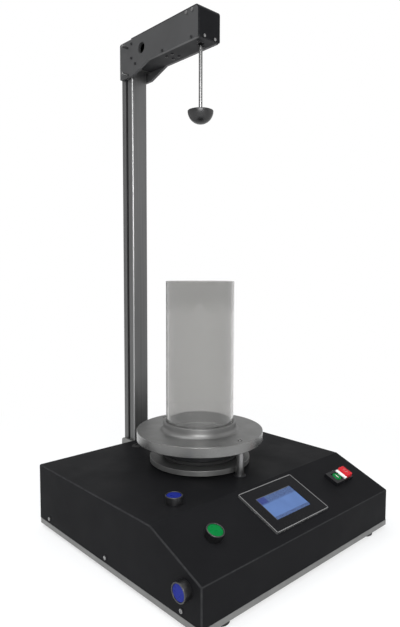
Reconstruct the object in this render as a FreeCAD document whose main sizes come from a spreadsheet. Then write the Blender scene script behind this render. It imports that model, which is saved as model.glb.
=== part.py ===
"""Falling dart impact tester: parametric model of every separate piece.

Millimetres, +Z up. Inside the model the dart falls along x = y = 0 and the floor is z = 0. Each
piece is then placed by one shift, which brings the origin to the bottom centre of the whole.
"""
import FreeCAD, Part
import math
import os
import re

import Sketcher

V = FreeCAD.Vector

SIZES = {
    # Stand
    "foot_height": 8.0,
    "foot_radius": 14.0,
    "foot_inset": 53.0,
    "foot_front_inset": 16.0,
    "foot_rear_inset": 16.5,
    "foot_recess": 4.0,
    "plate_thick": 10.0,
    "plate_overhang": 0.5,
    "plate_round": 3.0,
    # Folded cover
    "cover_width": 506.0,
    "cover_rear": 198.5,
    "cover_front": 278.0,
    "cover_height": 108.6,
    "front_height": 61.3,
    "bend_ahead": 161.0,
    "cover_wall": 2.0,
    "cover_bend": 3.0,
    "rail_side": 16.0,
    "rail_inset": 20.0,
    "rail_length": 430.0,
    "cover_screw_rise": 9.2,
    "cover_screw_rear": 38.5,
    "cover_screw_front": 42.0,
    "cover_screw_head": 2.0,
    # Clamp and dart well
    "bore_radius": 62.5,
    "ring_gap": 4.4,
    "lower_ring_thick": 10.1,
    "lower_ring_inset": 26.6,
    "ring_break": 1.0,
    "well_wall": 4.0,
    "well_flange": 86.0,
    "pad_thick": 20.0,
    "pad_break": 2.0,
    "sleeve_height": 25.2,
    "sleeve_radius": 75.0,
    "sleeve_band": 6.0,
    "sleeve_groove": 2.0,
    "gasket_thick": 8.0,
    "gasket_radius": 77.0,
    "gasket_break": 2.0,
    "disc_thick": 19.9,
    "disc_radius": 128.0,
    "disc_break": 1.2,
    "collar_height": 17.5,
    "collar_radius": 74.0,
    "collar_fillet": 4.0,
    "collar_break": 1.5,
    "tube_radius": 68.5,
    "tube_wall": 5.0,
    "tube_seat": 5.0,
    "tube_ledge": 2.0,
    "tube_break": 0.6,
    "tube_length": 304.4,
    "post_radius": 8.0,
    "post_inset": 15.6,
    "bush_flange": 11.5,
    "bush_lip": 1.5,
    "bush_wall": 2.0,
    "lift_travel": 40.0,
    "piston_thick": 12.0,
    "barrel_radius": 20.0,
    "barrel_wall": 4.0,
    # Dart
    "drop_height": 659.6,
    "dart_radius": 25.4,
    "shaft_radius": 3.7,
    "shaft_length": 128.9,
    "shaft_seat": 10.0,
    "tip_length": 12.8,
    # Column
    "column_side": 40.0,
    "column_round": 3.0,
    "slot_mouth": 8.0,
    "slot_lip": 4.5,
    "slot_wide": 16.5,
    "slot_deep": 12.0,
    "slot_corner": 3.0,
    "column_core": 3.4,
    "chamber_side": 7.0,
    "chamber_inset": 3.5,
    "column_lift": 2.0,
    "column_drop": 6.0,
    "column_cap_thick": 3.0,
    "bracket_thick": 6.0,
    "bracket_reach": 41.5,
    "bracket_leg": 34.0,
    "bracket_step": 8.0,
    "bracket_round": 8.0,
    "support_thick": 5.0,
    "support_width": 160.0,
    "support_height": 95.0,
    "support_foot": 60.0,
    "nut_thick": 4.0,
    # Head
    "pole_recess": 2.0,
    "magnet_gap": 0.2,
    "head_width": 55.4,
    "cheek_thick": 6.0,
    "cheek_height": 58.0,
    "cheek_drop": 19.0,
    "cheek_rear": 232.8,
    "cheek_front": 22.0,
    "cheek_round": 4.0,
    "cheek_nose": 7.0,
    "gusset_low": 187.7,
    "gusset_high": 133.9,
    "floor_thick": 8.0,
    "head_cover_thick": 2.0,
    "head_front_thick": 2.8,
    "head_cover_back": 191.0,
    "head_front_round": 3.0,
    "head_bend": 9.0,
    "cable_hole_radius": 11.0,
    "cable_hole_back": 154.4,
    "cable_hole_drop": 27.7,
    "guide_block_thick": 11.0,
    "guide_block_drop": 2.0,
    "magnet_radius": 12.5,
    "magnet_height": 30.0,
    "magnet_flange": 6.0,
    "magnet_base": 4.0,
    "magnet_break": 1.0,
    "pole_radius": 6.0,
    "pole_break": 0.5,
    "jack_radius": 2.5,
    "jack_proud": 16.0,
    "jack_back": 203.0,
    "jack_high": 14.8,
    "jack_low": 71.6,
    "key_slack": 0.15,
    "key_rise": 4.0,
    "key_depth": 4.0,
    "key_length": 52.0,
    "tie_bar_length": 30.0,
    "tie_bar_height": 10.0,
    "terminal_back": 84.6,
    "terminal_width": 34.0,
    "terminal_depth": 26.0,
    "terminal_screw_pitch": 18.0,
    "terminal_height": 12.0,
    "way_pitch": 4.4,
    "way_width": 3.0,
    "way_start": 9.0,
    "magnet_screw_pitch": 27.0,
    "magnet_screw_shift": 8.0,
    "tie_screw_front": 6.4,
    "tie_screw_back": 10.5,
    "floor_screw_front": 3.6,
    "floor_screw_rear": 11.0,
    "guide_screw_drop": 9.5,
    "guide_screw_rise": 18.7,
    # Small screws
    "screw_head_radius": 3.0,
    "screw_head": 1.8,
    "screw_radius": 1.5,
    "screw_depth": 9.0,
    # Push buttons
    "button_radius": 15.0,
    "button_height": 14.0,
    "button_ring": 2.0,
    "button_rim": 1.7,
    "button_break": 1.2,
    "button_nut": 3.5,
    "button_hole": 11.0,
    "button_depth": 8.0,
    "stem_radius": 4.0,
    "contact_side": 24.0,
    "contact_depth": 26.0,
    "button_travel": 4.0,
    "cap_recess": 0.6,
    "cap_break": 1.0,
    "stem_foot": 1.0,
    "raise_inset": 81.0,
    "raise_ahead": 123.0,
    "release_inset": 80.2,
    "release_down": 61.6,
    "side_button_ahead": 244.3,
    "side_button_rise": 45.0,
    # Touch panel
    "panel_width": 144.0,
    "panel_height": 96.0,
    "panel_thick": 4.0,
    "panel_edge": 1.5,
    "panel_lip": 4.0,
    "screen_lip": 2.0,
    "panel_right": 3.4,
    "panel_down": 58.5,
    "screen_width": 94.0,
    "screen_height": 53.5,
    "screen_left": 2.0,
    "panel_depth": 30.0,
    # Mains switch
    "switch_width": 56.0,
    "switch_height": 30.0,
    "switch_rise": 8.0,
    "switch_depth": 24.0,
    "switch_inset": 77.8,
    "switch_down": 58.3,
    "switch_travel": 3.0,
    "switch_rim": 2.5,
    "switch_lip": 3.0,
    "switch_floor": 1.0,
    "lamp_round": 1.0,
    "off_round": 1.2,
    "on_break": 0.8,
    "on_radius": 9.0,
    "on_left": 8.5,
    "lamp_left": 1.4,
    "lamp_right": 9.0,
    "lamp_rise": 10.0,
    "off_right": 26.5,
    "off_rise": 14.0,
    # Rear of the base
    "inlet_inset": 53.0,
    "inlet_rise": 58.0,
    "inlet_wide": 27.0,
    "inlet_tall": 20.0,
    "inlet_flange": 11.5,
    "inlet_lip": 3.0,
    "inlet_wall": 2.0,
    "inlet_cut": 4.0,
    "blade_pitch": 7.0,
    "blade_drop": 2.0,
    "blade_wide": 2.0,
    "blade_tall": 5.0,
    "inlet_depth": 18.0,
    "air_inset": 118.0,
    "air_radius": 6.0,
    "air_bore": 4.0,
    "air_reach": 16.0,
    "air_flange": 3.0,
    "air_flange_thick": 5.0,
    "air_neck": 1.0,
    "vent_inset": 143.0,
    "vent_rise": 45.0,
    "vent_wide": 4.0,
    "vent_long": 50.0,
    "vent_pitch": 9.0,
    "vent_count": 12,
    "grommet_left": 41.0,
    "grommet_back": 161.0,
    "grommet_radius": 8.5,
    "grommet_lip": 2.0,
    "grommet_rise": 3.0,
    # Inside the base
    "supply_width": 110.0,
    "supply_depth": 78.0,
    "supply_height": 36.0,
    "supply_inset": 38.0,
    "supply_front": 40.0,
    "supply_edge": 2.0,
    "strip_margin": 4.0,
    "strip_gap": 2.0,
    "strip_height": 6.0,
    "board_width": 120.0,
    "board_depth": 90.0,
    "board_thick": 1.6,
    "board_rise": 12.0,
    "board_inset": 38.0,
    "board_front": 30.0,
    "valve_width": 70.0,
    "valve_depth": 26.0,
    "valve_height": 40.0,
    "valve_left": 100.0,
    "valve_front": 145.0,
    # Clearances
    "slip": 0.3,
    "running": 0.05,
}

doc = FreeCAD.newDocument("impact_tester")
sheet = doc.addObject("Spreadsheet::Sheet", "Sizes")
for row, (alias, size) in enumerate(SIZES.items(), start=1):
    sheet.set(f"A{row}", alias.replace("_", " "))
    sheet.set(f"B{row}", str(size))
    sheet.setAlias(f"B{row}", alias)
doc.recompute()

# Heights and places that several pieces share, as expressions of the sizes
PLATE_TOP = "(foot_height + plate_thick)"
COVER_TOP = f"({PLATE_TOP} + cover_height)"
LOWER_RING = f"({COVER_TOP} + ring_gap)"
FILM = f"({LOWER_RING} + lower_ring_thick)"
SLEEVE_FOOT = f"({FILM} + slip + gasket_thick)"
DISC_UNDER = f"({SLEEVE_FOOT} + sleeve_height)"
DISC_TOP = f"({DISC_UNDER} + disc_thick)"
COLLAR_TOP = f"({DISC_TOP} + collar_height)"
TUBE_FOOT = f"({DISC_TOP} - tube_seat)"
DART_CENTRE = f"({FILM} + drop_height + dart_radius)"
SHAFT_TOP = f"({DART_CENTRE} + shaft_length)"
HEAD_UNDER = f"({SHAFT_TOP} + magnet_gap - pole_recess)"
HEAD_TOP = f"({HEAD_UNDER} + cheek_height)"
COLUMN_TOP = f"({HEAD_TOP} - column_drop)"
COLUMN_AXIS = "(cover_rear + column_side / 2)"
HALF_HEAD = "(head_width / 2)"
INNER_HEAD = "(head_width / 2 - cheek_thick)"
SLOPE = "atan((cover_height - front_height) / (cover_front - bend_ahead))"
WELL_OUTER = "(bore_radius + well_wall)"
INNER_WIDTH = "(cover_width - 2 * cover_wall - 2 * slip)"
ORIGIN_X = "(button_height - cover_screw_head) / 2"
ORIGIN_Y = "(cover_front + plate_overhang - cover_rear - bracket_reach) / 2"

HALF_COVER = "(cover_width / 2)"
RAISE_X = f"-({HALF_COVER} - raise_inset)"
RELEASE_X = f"-({HALF_COVER} - release_inset)"
SWITCH_X = f"({HALF_COVER} - switch_inset)"
INLET_X = f"-({HALF_COVER} - inlet_inset)"
AIR_X = f"-({HALF_COVER} - air_inset)"
VENT_X = f"({HALF_COVER} - vent_inset)"
POSTS = ("-(disc_radius - post_inset)", "(disc_radius - post_inset)")
LOWER_RADIUS = "(disc_radius - lower_ring_inset)"
BRACKET_RISES = (f"{PLATE_TOP} + cover_height / 4", f"{PLATE_TOP} + cover_height * 3 / 4")
BRACKET_SPOTS = [
    (sign, "column_side / 2 + bracket_leg * 3 / 5", rise)
    for sign in ("-", "") for rise in BRACKET_RISES
]

ON_TOP = ("0", "0", "0")
TOUCH = 0.01
WORD = re.compile(r"[a-z]+(?:_[a-z]+)+|slip|running")
PARTS = {}


def bound(text):
    """Expression text with each size pointed at its cell of the sheet."""
    return WORD.sub(lambda found: "Sizes." + found.group(), text)


def tie(thing, name, text):
    thing.setExpression(name, bound(text))


def place(thing, at, axis=None, angle="0"):
    """Put a piece at a point of the model, turned about an axis, and shift it to the origin."""
    if axis:
        thing.Placement = FreeCAD.Placement(V(), FreeCAD.Rotation(V(*axis), 1))
        tie(thing, "Placement.Rotation.Angle", angle)
    tie(thing, "Placement.Base.x", f"{at[0]} + {ORIGIN_X}")
    tie(thing, "Placement.Base.y", f"{at[1]} + {ORIGIN_Y}")
    tie(thing, "Placement.Base.z", at[2])


class Piece:
    """One body, built from sketches that are dimensioned by the sheet."""

    def __init__(self, label, at=ON_TOP, axis=None, angle="0", shared=False):
        self.body = doc.addObject("PartDesign::Body", label)
        self.body.Label = label
        place(self.body, at, axis, angle)
        if not shared:
            PARTS[label] = self.body

    def plane(self, role):
        return next(part for part in self.body.Origin.OriginFeatures if part.Role == role)

    def sketch(self, role="XY_Plane", lift="0"):
        drawing = self.body.newObject("Sketcher::SketchObject", self.body.Label + "_sketch")
        drawing.AttachmentSupport = (self.plane(role), "")
        drawing.MapMode = "FlatFace"
        tie(drawing, "AttachmentOffset.Base.z", lift)
        return drawing

    def tilted(self, at, angle):
        """Sketch on a plane turned about X, such as the sloping panel."""
        drawing = self.sketch()
        drawing.AttachmentOffset = FreeCAD.Placement(V(), FreeCAD.Rotation(V(1, 0, 0), 1))
        tie(drawing, "AttachmentOffset.Rotation.Angle", angle)
        tie(drawing, "AttachmentOffset.Base.y", at[1])
        tie(drawing, "AttachmentOffset.Base.z", at[2])
        return drawing

    def feature(self, kind, drawing, length, back=False, middle=False):
        item = self.body.newObject(kind, self.body.Label + "_" + kind.split("::")[1].lower())
        item.Profile = drawing
        if length:
            tie(item, "Length", length)
        item.Midplane = middle
        item.Reversed = back
        drawing.Visibility = False
        self.body.Tip = item
        doc.recompute()
        return item

    def pad(self, drawing, length, back=False, middle=False):
        return self.feature("PartDesign::Pad", drawing, length, back, middle)

    def pocket(self, drawing, length, back=False, middle=False):
        before = self.body.Shape.Volume
        item = self.feature("PartDesign::Pocket", drawing, length, back, middle)
        if self.body.Shape.Volume >= before:
            raise RuntimeError(self.body.Label + ": a pocket removed nothing")
        return item

    def revolve(self, drawing, groove=False):
        kind = "PartDesign::Groove" if groove else "PartDesign::Revolution"
        item = self.body.newObject(kind, self.body.Label + "_turned")
        item.Profile = drawing
        item.ReferenceAxis = (drawing, ["V_Axis"])
        item.Angle = 360
        drawing.Visibility = False
        self.body.Tip = item
        doc.recompute()
        return item

    def edges(self, test):
        shape = self.body.Tip.Shape
        return [f"Edge{number}" for number, edge in enumerate(shape.Edges, start=1) if test(edge)]

    def dress(self, kind, size, test):
        found = self.edges(test)
        if not found:
            raise RuntimeError(self.body.Label + ": no edge to " + kind.lower())
        base = self.body.Tip
        item = self.body.newObject("PartDesign::" + kind, self.body.Label + "_" + kind.lower())
        item.Base = (base, found)
        tie(item, "Radius" if kind == "Fillet" else "Size", size)
        self.body.Tip = item
        doc.recompute()

    def mirror(self, role, originals):
        item = self.body.newObject("PartDesign::Mirrored", self.body.Label + "_mirror")
        item.Originals = originals
        item.MirrorPlane = (self.plane(role), [""])
        self.body.Tip = item
        doc.recompute()


def fix(drawing, geometry, position, x, y, guess):
    """Dimension one point of a sketch from its origin, along both axes."""
    for kind, text, value in (("DistanceX", x, guess.x), ("DistanceY", y, guess.y)):
        number = drawing.addConstraint(Sketcher.Constraint(kind, -1, 1, geometry, position, value))
        tie(drawing, f"Constraints[{number}]", text)


def outline(drawing, corners):
    """Closed outline with straight sides through the corners."""
    count = len(corners)
    first = drawing.GeometryCount
    turn = [2 * math.pi * step / count for step in range(count)]
    guess = [V(math.cos(angle), math.sin(angle), 0) for angle in turn]
    for step in range(count):
        drawing.addGeometry(Part.LineSegment(guess[step], guess[(step + 1) % count]), False)
    for step in range(count):
        after = first + (step + 1) % count
        drawing.addConstraint(Sketcher.Constraint("Coincident", first + step, 2, after, 1))
    for step, (x, y) in enumerate(corners):
        fix(drawing, first + step, 1, x, y, guess[step])
    return drawing


def block(drawing, left, right, low, high):
    """Rectangle between two x values and two y values."""
    return outline(drawing, [(left, low), (right, low), (right, high), (left, high)])


def circles(drawing, spots):
    """Circles, each given by its centre and radius."""
    for x, y, radius in spots:
        number = drawing.addGeometry(Part.Circle(V(0, 0, 0), V(0, 0, 1), 1), False)
        fix(drawing, number, 3, x, y, V(0, 0, 0))
        size = drawing.addConstraint(Sketcher.Constraint("Radius", number, 1))
        tie(drawing, f"Constraints[{size}]", radius)
    return drawing


def hexagon(drawing, reach):
    """Hexagon with its corners at the reach from the centre."""
    turn = [60 * step for step in range(6)]
    return outline(drawing, [(f"{reach} * cos({angle})", f"{reach} * sin({angle})") for angle in turn])


def ring(label, corners, **where):
    """A turned piece: the outline is given as radius and height."""
    piece = Piece(label, **where)
    piece.revolve(outline(piece.sketch("XZ_Plane"), corners))
    return piece


def along(direction):
    """Test for straight edges that run along a direction."""
    def test(edge):
        if edge.Curve.TypeId != "Part::GeomLine":
            return False
        return abs(edge.Curve.Direction.dot(direction)) > 0.9999
    return test


def group(label, pieces):
    """Several like solids kept as one node."""
    item = doc.addObject("Part::Compound", label)
    item.Label = label
    item.Links = [piece.body for piece in pieces]
    PARTS[label] = item


def across(values, other):
    return [(x, y) for x in values for y in other]


X_AXIS, Y_AXIS, Z_AXIS = V(1, 0, 0), V(0, 1, 0), V(0, 0, 1)
FEET = across((f"-({HALF_COVER} - foot_inset)", f"({HALF_COVER} - foot_inset)"),
              ("-(cover_front - foot_front_inset)", "(cover_rear - foot_rear_inset)"))


# Stand
def base_plate():
    plate = Piece("base_plate")
    half = "(cover_width / 2 + plate_overhang)"
    drawing = plate.sketch(lift="foot_height")
    block(drawing, f"-{half}", half, "-cover_front - plate_overhang", "cover_rear")
    plate.pad(drawing, "plate_thick")
    plate.dress("Fillet", "plate_round", along(Z_AXIS))
    holes = circles(plate.sketch(lift="foot_height"), [(x, y, "screw_radius + slip") for x, y in FEET])
    plate.pocket(holes, "plate_thick", back=True)


def rubber_feet():
    feet = Piece("rubber_feet")
    feet.pad(circles(feet.sketch(), [(x, y, "foot_radius") for x, y in FEET]), "foot_height")
    low_rims = [edge for edge in feet.body.Tip.Shape.Edges if edge.BoundBox.ZMax < TOUCH]
    feet.dress("Chamfer", "foot_height / 5", lambda edge: any(edge.isSame(rim) for rim in low_rims))
    recess = circles(feet.sketch(), [(x, y, "screw_head_radius * 2") for x, y in FEET])
    feet.pocket(recess, "foot_recess", back=True)
    bores = circles(feet.sketch(), [(x, y, "screw_radius + slip") for x, y in FEET])
    feet.pocket(bores, "foot_height", back=True)


def foot_screws():
    screws = Piece("foot_screws")
    heads = screws.sketch(lift="foot_recess - screw_head")
    screws.pad(circles(heads, [(x, y, "screw_head_radius * 1.5") for x, y in FEET]), "screw_head")
    shanks = screws.sketch(lift="foot_recess")
    length = "foot_height - foot_recess + plate_thick"
    screws.pad(circles(shanks, [(x, y, "screw_radius") for x, y in FEET]), length)


# Cover and what holds it
BEND = ("-bend_ahead", COVER_TOP)
FIRST_SCREW, LAST_SCREW = "(cover_rear - cover_screw_rear)", "(cover_screw_front - cover_front)"
COVER_ROWS = [
    (back, f"{PLATE_TOP} + cover_screw_rise")
    for back in (FIRST_SCREW, f"({FIRST_SCREW} + {LAST_SCREW}) / 2", LAST_SCREW)
]


def base_cover():
    cover = Piece("base_cover")
    side = cover.sketch("YZ_Plane")
    corners = [
        ("cover_rear", PLATE_TOP),
        ("cover_rear", COVER_TOP),
        BEND,
        ("-cover_front", f"{PLATE_TOP} + front_height"),
        ("-cover_front", PLATE_TOP),
    ]
    cover.pad(outline(side, corners), "cover_width", middle=True)
    top = SIZES["foot_height"] + SIZES["plate_thick"]

    def folded(edge):
        box = edge.BoundBox
        return box.ZMax > top + TOUCH and box.YMin < SIZES["cover_rear"] - TOUCH

    cover.dress("Fillet", "cover_bend", folded)
    inside = outline(cover.sketch("YZ_Plane"), [
        ("cover_rear + 1", f"{PLATE_TOP} - 1"),
        ("cover_rear + 1", f"{COVER_TOP} - cover_wall"),
        (f"-bend_ahead + cover_wall * tan({SLOPE} / 2)", f"{COVER_TOP} - cover_wall"),
        ("-cover_front + cover_wall",
         f"{PLATE_TOP} + front_height - cover_wall * (1 - sin({SLOPE})) / cos({SLOPE})"),
        ("-cover_front + cover_wall", f"{PLATE_TOP} - 1"),
    ])
    cover.pocket(inside, "cover_width - 2 * cover_wall", middle=True)
    spots = [("0", "0", f"{WELL_OUTER} + slip"), (RAISE_X, "-raise_ahead", "button_hole + slip")]
    spots += [("0", reach, "post_radius + bush_wall + 2 * slip") for reach in POSTS]
    spots.append(("-grommet_left", "grommet_back", "grommet_radius"))
    cover.pocket(circles(cover.sketch(lift=COVER_TOP), spots), "cover_wall + 1")
    slope = cover.tilted(("0",) + BEND, SLOPE)
    circles(slope, [(RELEASE_X, "-release_down", "button_hole + slip")])
    inner = "(panel_width / 2 - panel_lip)"
    tall = "(panel_height / 2 - panel_lip)"
    block(slope, f"panel_right - {inner}", f"panel_right + {inner}",
          f"-panel_down - {tall}", f"-panel_down + {tall}")
    wide = "(switch_width / 2 - switch_lip)"
    high = "(switch_height / 2 - switch_lip)"
    block(slope, f"{SWITCH_X} - {wide}", f"{SWITCH_X} + {wide}",
          f"-switch_down - {high}", f"-switch_down + {high}")
    cover.pocket(slope, "cover_wall + 1")
    left = cover.sketch("YZ_Plane", lift="-cover_width / 2")
    circles(left, [("-side_button_ahead", f"{PLATE_TOP} + side_button_rise", "button_hole + slip")])
    cover.pocket(left, "cover_wall + 1", back=True)
    screws = cover.sketch("YZ_Plane")
    circles(screws, [(y, z, "screw_radius + slip") for y, z in COVER_ROWS])
    cover.pocket(screws, "cover_width + 2", middle=True)


def cover_rails():
    rails = Piece("cover_rails")
    side = "cover_width / 2 - cover_wall - slip"
    drawing = rails.sketch(lift=PLATE_TOP)
    block(drawing, f"{side} - rail_side", side, "-cover_front + rail_inset",
          "-cover_front + rail_inset + rail_length")
    bar = rails.pad(drawing, "rail_side")
    rails.mirror("YZ_Plane", [bar])
    taps = rails.sketch("YZ_Plane")
    circles(taps, [(y, z, "screw_radius + slip / 2") for y, z in COVER_ROWS])
    rails.pocket(taps, "cover_width", middle=True)


def cover_screws():
    screws = Piece("cover_screws")
    heads = screws.sketch("YZ_Plane", lift="cover_width / 2")
    circles(heads, [(y, z, "screw_head_radius * 1.2") for y, z in COVER_ROWS])
    caps = screws.pad(heads, "cover_screw_head")
    shanks = screws.sketch("YZ_Plane", lift="cover_width / 2")
    circles(shanks, [(y, z, "screw_radius") for y, z in COVER_ROWS])
    stems = screws.pad(shanks, "screw_depth + cover_wall", back=True)
    screws.mirror("YZ_Plane", [caps, stems])


def rear_panel():
    panel = Piece("rear_panel")
    drawing = panel.sketch("XZ_Plane", lift="-cover_rear")
    half = f"({INNER_WIDTH} / 2)"
    block(drawing, f"-{half}", half, PLATE_TOP, f"{COVER_TOP} - cover_wall - slip")
    panel.pad(drawing, "cover_wall")
    openings = panel.sketch("XZ_Plane", lift="-cover_rear")
    block(openings, f"{INLET_X} - inlet_wide / 2", f"{INLET_X} + inlet_wide / 2",
          "inlet_rise - inlet_tall / 2", "inlet_rise + inlet_tall / 2")
    circles(openings, [(AIR_X, "inlet_rise", "air_radius + slip")])
    bolts = [(f"{sign}({x})", z, "screw_radius * 2 + slip") for sign, x, z in BRACKET_SPOTS]
    circles(openings, bolts)
    panel.pocket(openings, "cover_wall + 1", back=True)
    vent = panel.sketch("XZ_Plane", lift="-cover_rear")
    block(vent, VENT_X, f"{VENT_X} + vent_wide", "vent_rise", "vent_rise + vent_long")
    slot = panel.pocket(vent, "cover_wall + 1", back=True)
    row = panel.body.newObject("PartDesign::LinearPattern", "rear_panel_vents")
    row.Originals = [slot]
    row.Direction = (vent, ["H_Axis"])
    tie(row, "Length", "vent_pitch * (vent_count - 1)")
    tie(row, "Occurrences", "vent_count")
    panel.body.Tip = row
    doc.recompute()


# Dart well and lower clamp
def catch_well():
    low = PLATE_TOP
    top = LOWER_RING
    ring("catch_well", [
        ("bore_radius", low),
        (WELL_OUTER, low),
        (WELL_OUTER, f"{COVER_TOP} + slip"),
        ("well_flange", f"{COVER_TOP} + slip"),
        ("well_flange", top),
        ("bore_radius", top),
    ])


def dart_pad():
    edge = "bore_radius - slip"
    ring("dart_pad", [
        ("0", PLATE_TOP),
        (edge, PLATE_TOP),
        (edge, f"{PLATE_TOP} + pad_thick - pad_break"),
        (f"{edge} - pad_break", f"{PLATE_TOP} + pad_thick"),
        ("0", f"{PLATE_TOP} + pad_thick"),
    ])


def lower_clamp_ring():
    ring("lower_clamp_ring", [
        ("bore_radius", LOWER_RING),
        (LOWER_RADIUS, LOWER_RING),
        (LOWER_RADIUS, f"{FILM} - ring_break"),
        (f"{LOWER_RADIUS} - ring_break", FILM),
        ("bore_radius + ring_break", FILM),
        ("bore_radius", f"{FILM} - ring_break"),
    ])


# Moving upper clamp
def upper_clamp_ring():
    piece = ring("upper_clamp_ring", [
        ("bore_radius", DISC_UNDER),
        ("disc_radius - ring_break", DISC_UNDER),
        ("disc_radius", f"{DISC_UNDER} + ring_break"),
        ("disc_radius", f"{DISC_TOP} - disc_break"),
        ("disc_radius - disc_break", DISC_TOP),
        ("collar_radius", DISC_TOP),
        ("collar_radius", f"{COLLAR_TOP} - collar_break"),
        ("collar_radius - collar_break", COLLAR_TOP),
        ("tube_radius + slip", COLLAR_TOP),
        ("tube_radius + slip", TUBE_FOOT),
        ("bore_radius + tube_ledge", TUBE_FOOT),
        ("bore_radius", f"{TUBE_FOOT} - tube_ledge"),
    ])
    root = SIZES["collar_radius"]

    def collar_root(edge):
        box = edge.BoundBox
        flat = box.ZMax - box.ZMin < TOUCH
        return flat and abs(box.XMax - root) < TOUCH and edge.isClosed() and low_collar(box)

    def low_collar(box):
        return all(box.ZMax <= other.BoundBox.ZMax + TOUCH for other in piece.body.Tip.Shape.Edges
                   if abs(other.BoundBox.XMax - root) < TOUCH and other.isClosed())

    piece.dress("Fillet", "collar_fillet", collar_root)
    holes = circles(piece.sketch(lift=DISC_TOP), [("0", y, "screw_radius * 2 + slip") for y in POSTS])
    piece.pocket(holes, "disc_thick")


def clamp_sleeve():
    middle = f"({SLEEVE_FOOT} + sleeve_height / 2)"
    ring("clamp_sleeve", [
        ("bore_radius", SLEEVE_FOOT),
        ("sleeve_radius", SLEEVE_FOOT),
        ("sleeve_radius", f"{middle} - sleeve_band / 2"),
        ("sleeve_radius - sleeve_groove", f"{middle} - sleeve_band / 2"),
        ("sleeve_radius - sleeve_groove", f"{middle} + sleeve_band / 2"),
        ("sleeve_radius", f"{middle} + sleeve_band / 2"),
        ("sleeve_radius", DISC_UNDER),
        ("bore_radius", DISC_UNDER),
    ])


def clamp_gasket():
    foot = f"({FILM} + slip)"
    ring("clamp_gasket", [
        ("bore_radius", foot),
        ("gasket_radius - gasket_break", foot),
        ("gasket_radius", f"{foot} + gasket_break"),
        ("gasket_radius", f"{SLEEVE_FOOT} - gasket_break"),
        ("gasket_radius - gasket_break", SLEEVE_FOOT),
        ("bore_radius", SLEEVE_FOOT),
    ])


def shield_tube():
    inner = "tube_radius - tube_wall"
    top = f"({TUBE_FOOT} + tube_length)"
    ring("shield_tube", [
        (inner, TUBE_FOOT),
        ("tube_radius", TUBE_FOOT),
        ("tube_radius", f"{top} - tube_break"),
        ("tube_radius - tube_break", top),
        (f"{inner} + tube_break", top),
        (inner, f"{top} - tube_break"),
    ])


BARREL_FLOOR = f"({PLATE_TOP} + barrel_wall)"
PISTON_FOOT = f"({BARREL_FLOOR} + slip)"
BARREL_TOP = f"({PISTON_FOOT} + piston_thick + lift_travel + slip + 2 * barrel_wall)"


def lift_posts():
    posts = Piece("lift_posts")
    drawing = posts.sketch(lift=f"{PISTON_FOOT} + piston_thick")
    circles(drawing, [("0", y, "post_radius") for y in POSTS])
    posts.pad(drawing, f"{DISC_UNDER} - {PISTON_FOOT} - piston_thick")
    taps = posts.sketch(lift=DISC_UNDER)
    circles(taps, [("0", y, "screw_radius * 2 + running") for y in POSTS])
    posts.pocket(taps, "screw_depth + 1")


def lift_pistons():
    pistons = Piece("lift_pistons")
    drawing = pistons.sketch(lift=PISTON_FOOT)
    circles(drawing, [("0", y, "barrel_radius - barrel_wall - running") for y in POSTS])
    pistons.pad(drawing, "piston_thick")


def lift_cylinders():
    barrels = Piece("lift_cylinders")
    body = circles(barrels.sketch(lift=PLATE_TOP), [("0", y, "barrel_radius") for y in POSTS])
    barrels.pad(body, f"{BARREL_TOP} - {PLATE_TOP}")
    chamber = barrels.sketch(lift=f"{BARREL_TOP} - 2 * barrel_wall")
    circles(chamber, [("0", y, "barrel_radius - barrel_wall") for y in POSTS])
    barrels.pocket(chamber, f"{BARREL_TOP} - 2 * barrel_wall - {BARREL_FLOOR}")
    throat = circles(barrels.sketch(lift=BARREL_TOP), [("0", y, "post_radius + running") for y in POSTS])
    barrels.pocket(throat, "3 * barrel_wall")


def post_bushes():
    bushes = Piece("post_bushes")
    lips = circles(bushes.sketch(lift=COVER_TOP), [("0", y, "bush_flange") for y in POSTS])
    bushes.pad(lips, "bush_lip")
    necks = bushes.sketch(lift=COVER_TOP)
    circles(necks, [("0", y, "post_radius + bush_wall + slip") for y in POSTS])
    bushes.pad(necks, "3 * cover_wall", back=True)
    bores = bushes.sketch(lift=f"{COVER_TOP} + bush_lip")
    circles(bores, [("0", y, "post_radius + running") for y in POSTS])
    bushes.pocket(bores, "bush_lip + 3 * cover_wall + 1")


def post_screws():
    screws = Piece("post_screws")
    heads = circles(screws.sketch(lift=DISC_TOP), [("0", y, "screw_head_radius * 1.4") for y in POSTS])
    screws.pad(heads, "screw_head")
    shanks = circles(screws.sketch(lift=DISC_TOP), [("0", y, "screw_radius * 2") for y in POSTS])
    screws.pad(shanks, "disc_thick + screw_depth", back=True)


def top_of(piece, edge):
    return edge.BoundBox.ZMin > piece.body.Tip.Shape.BoundBox.ZMax - TOUCH


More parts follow.
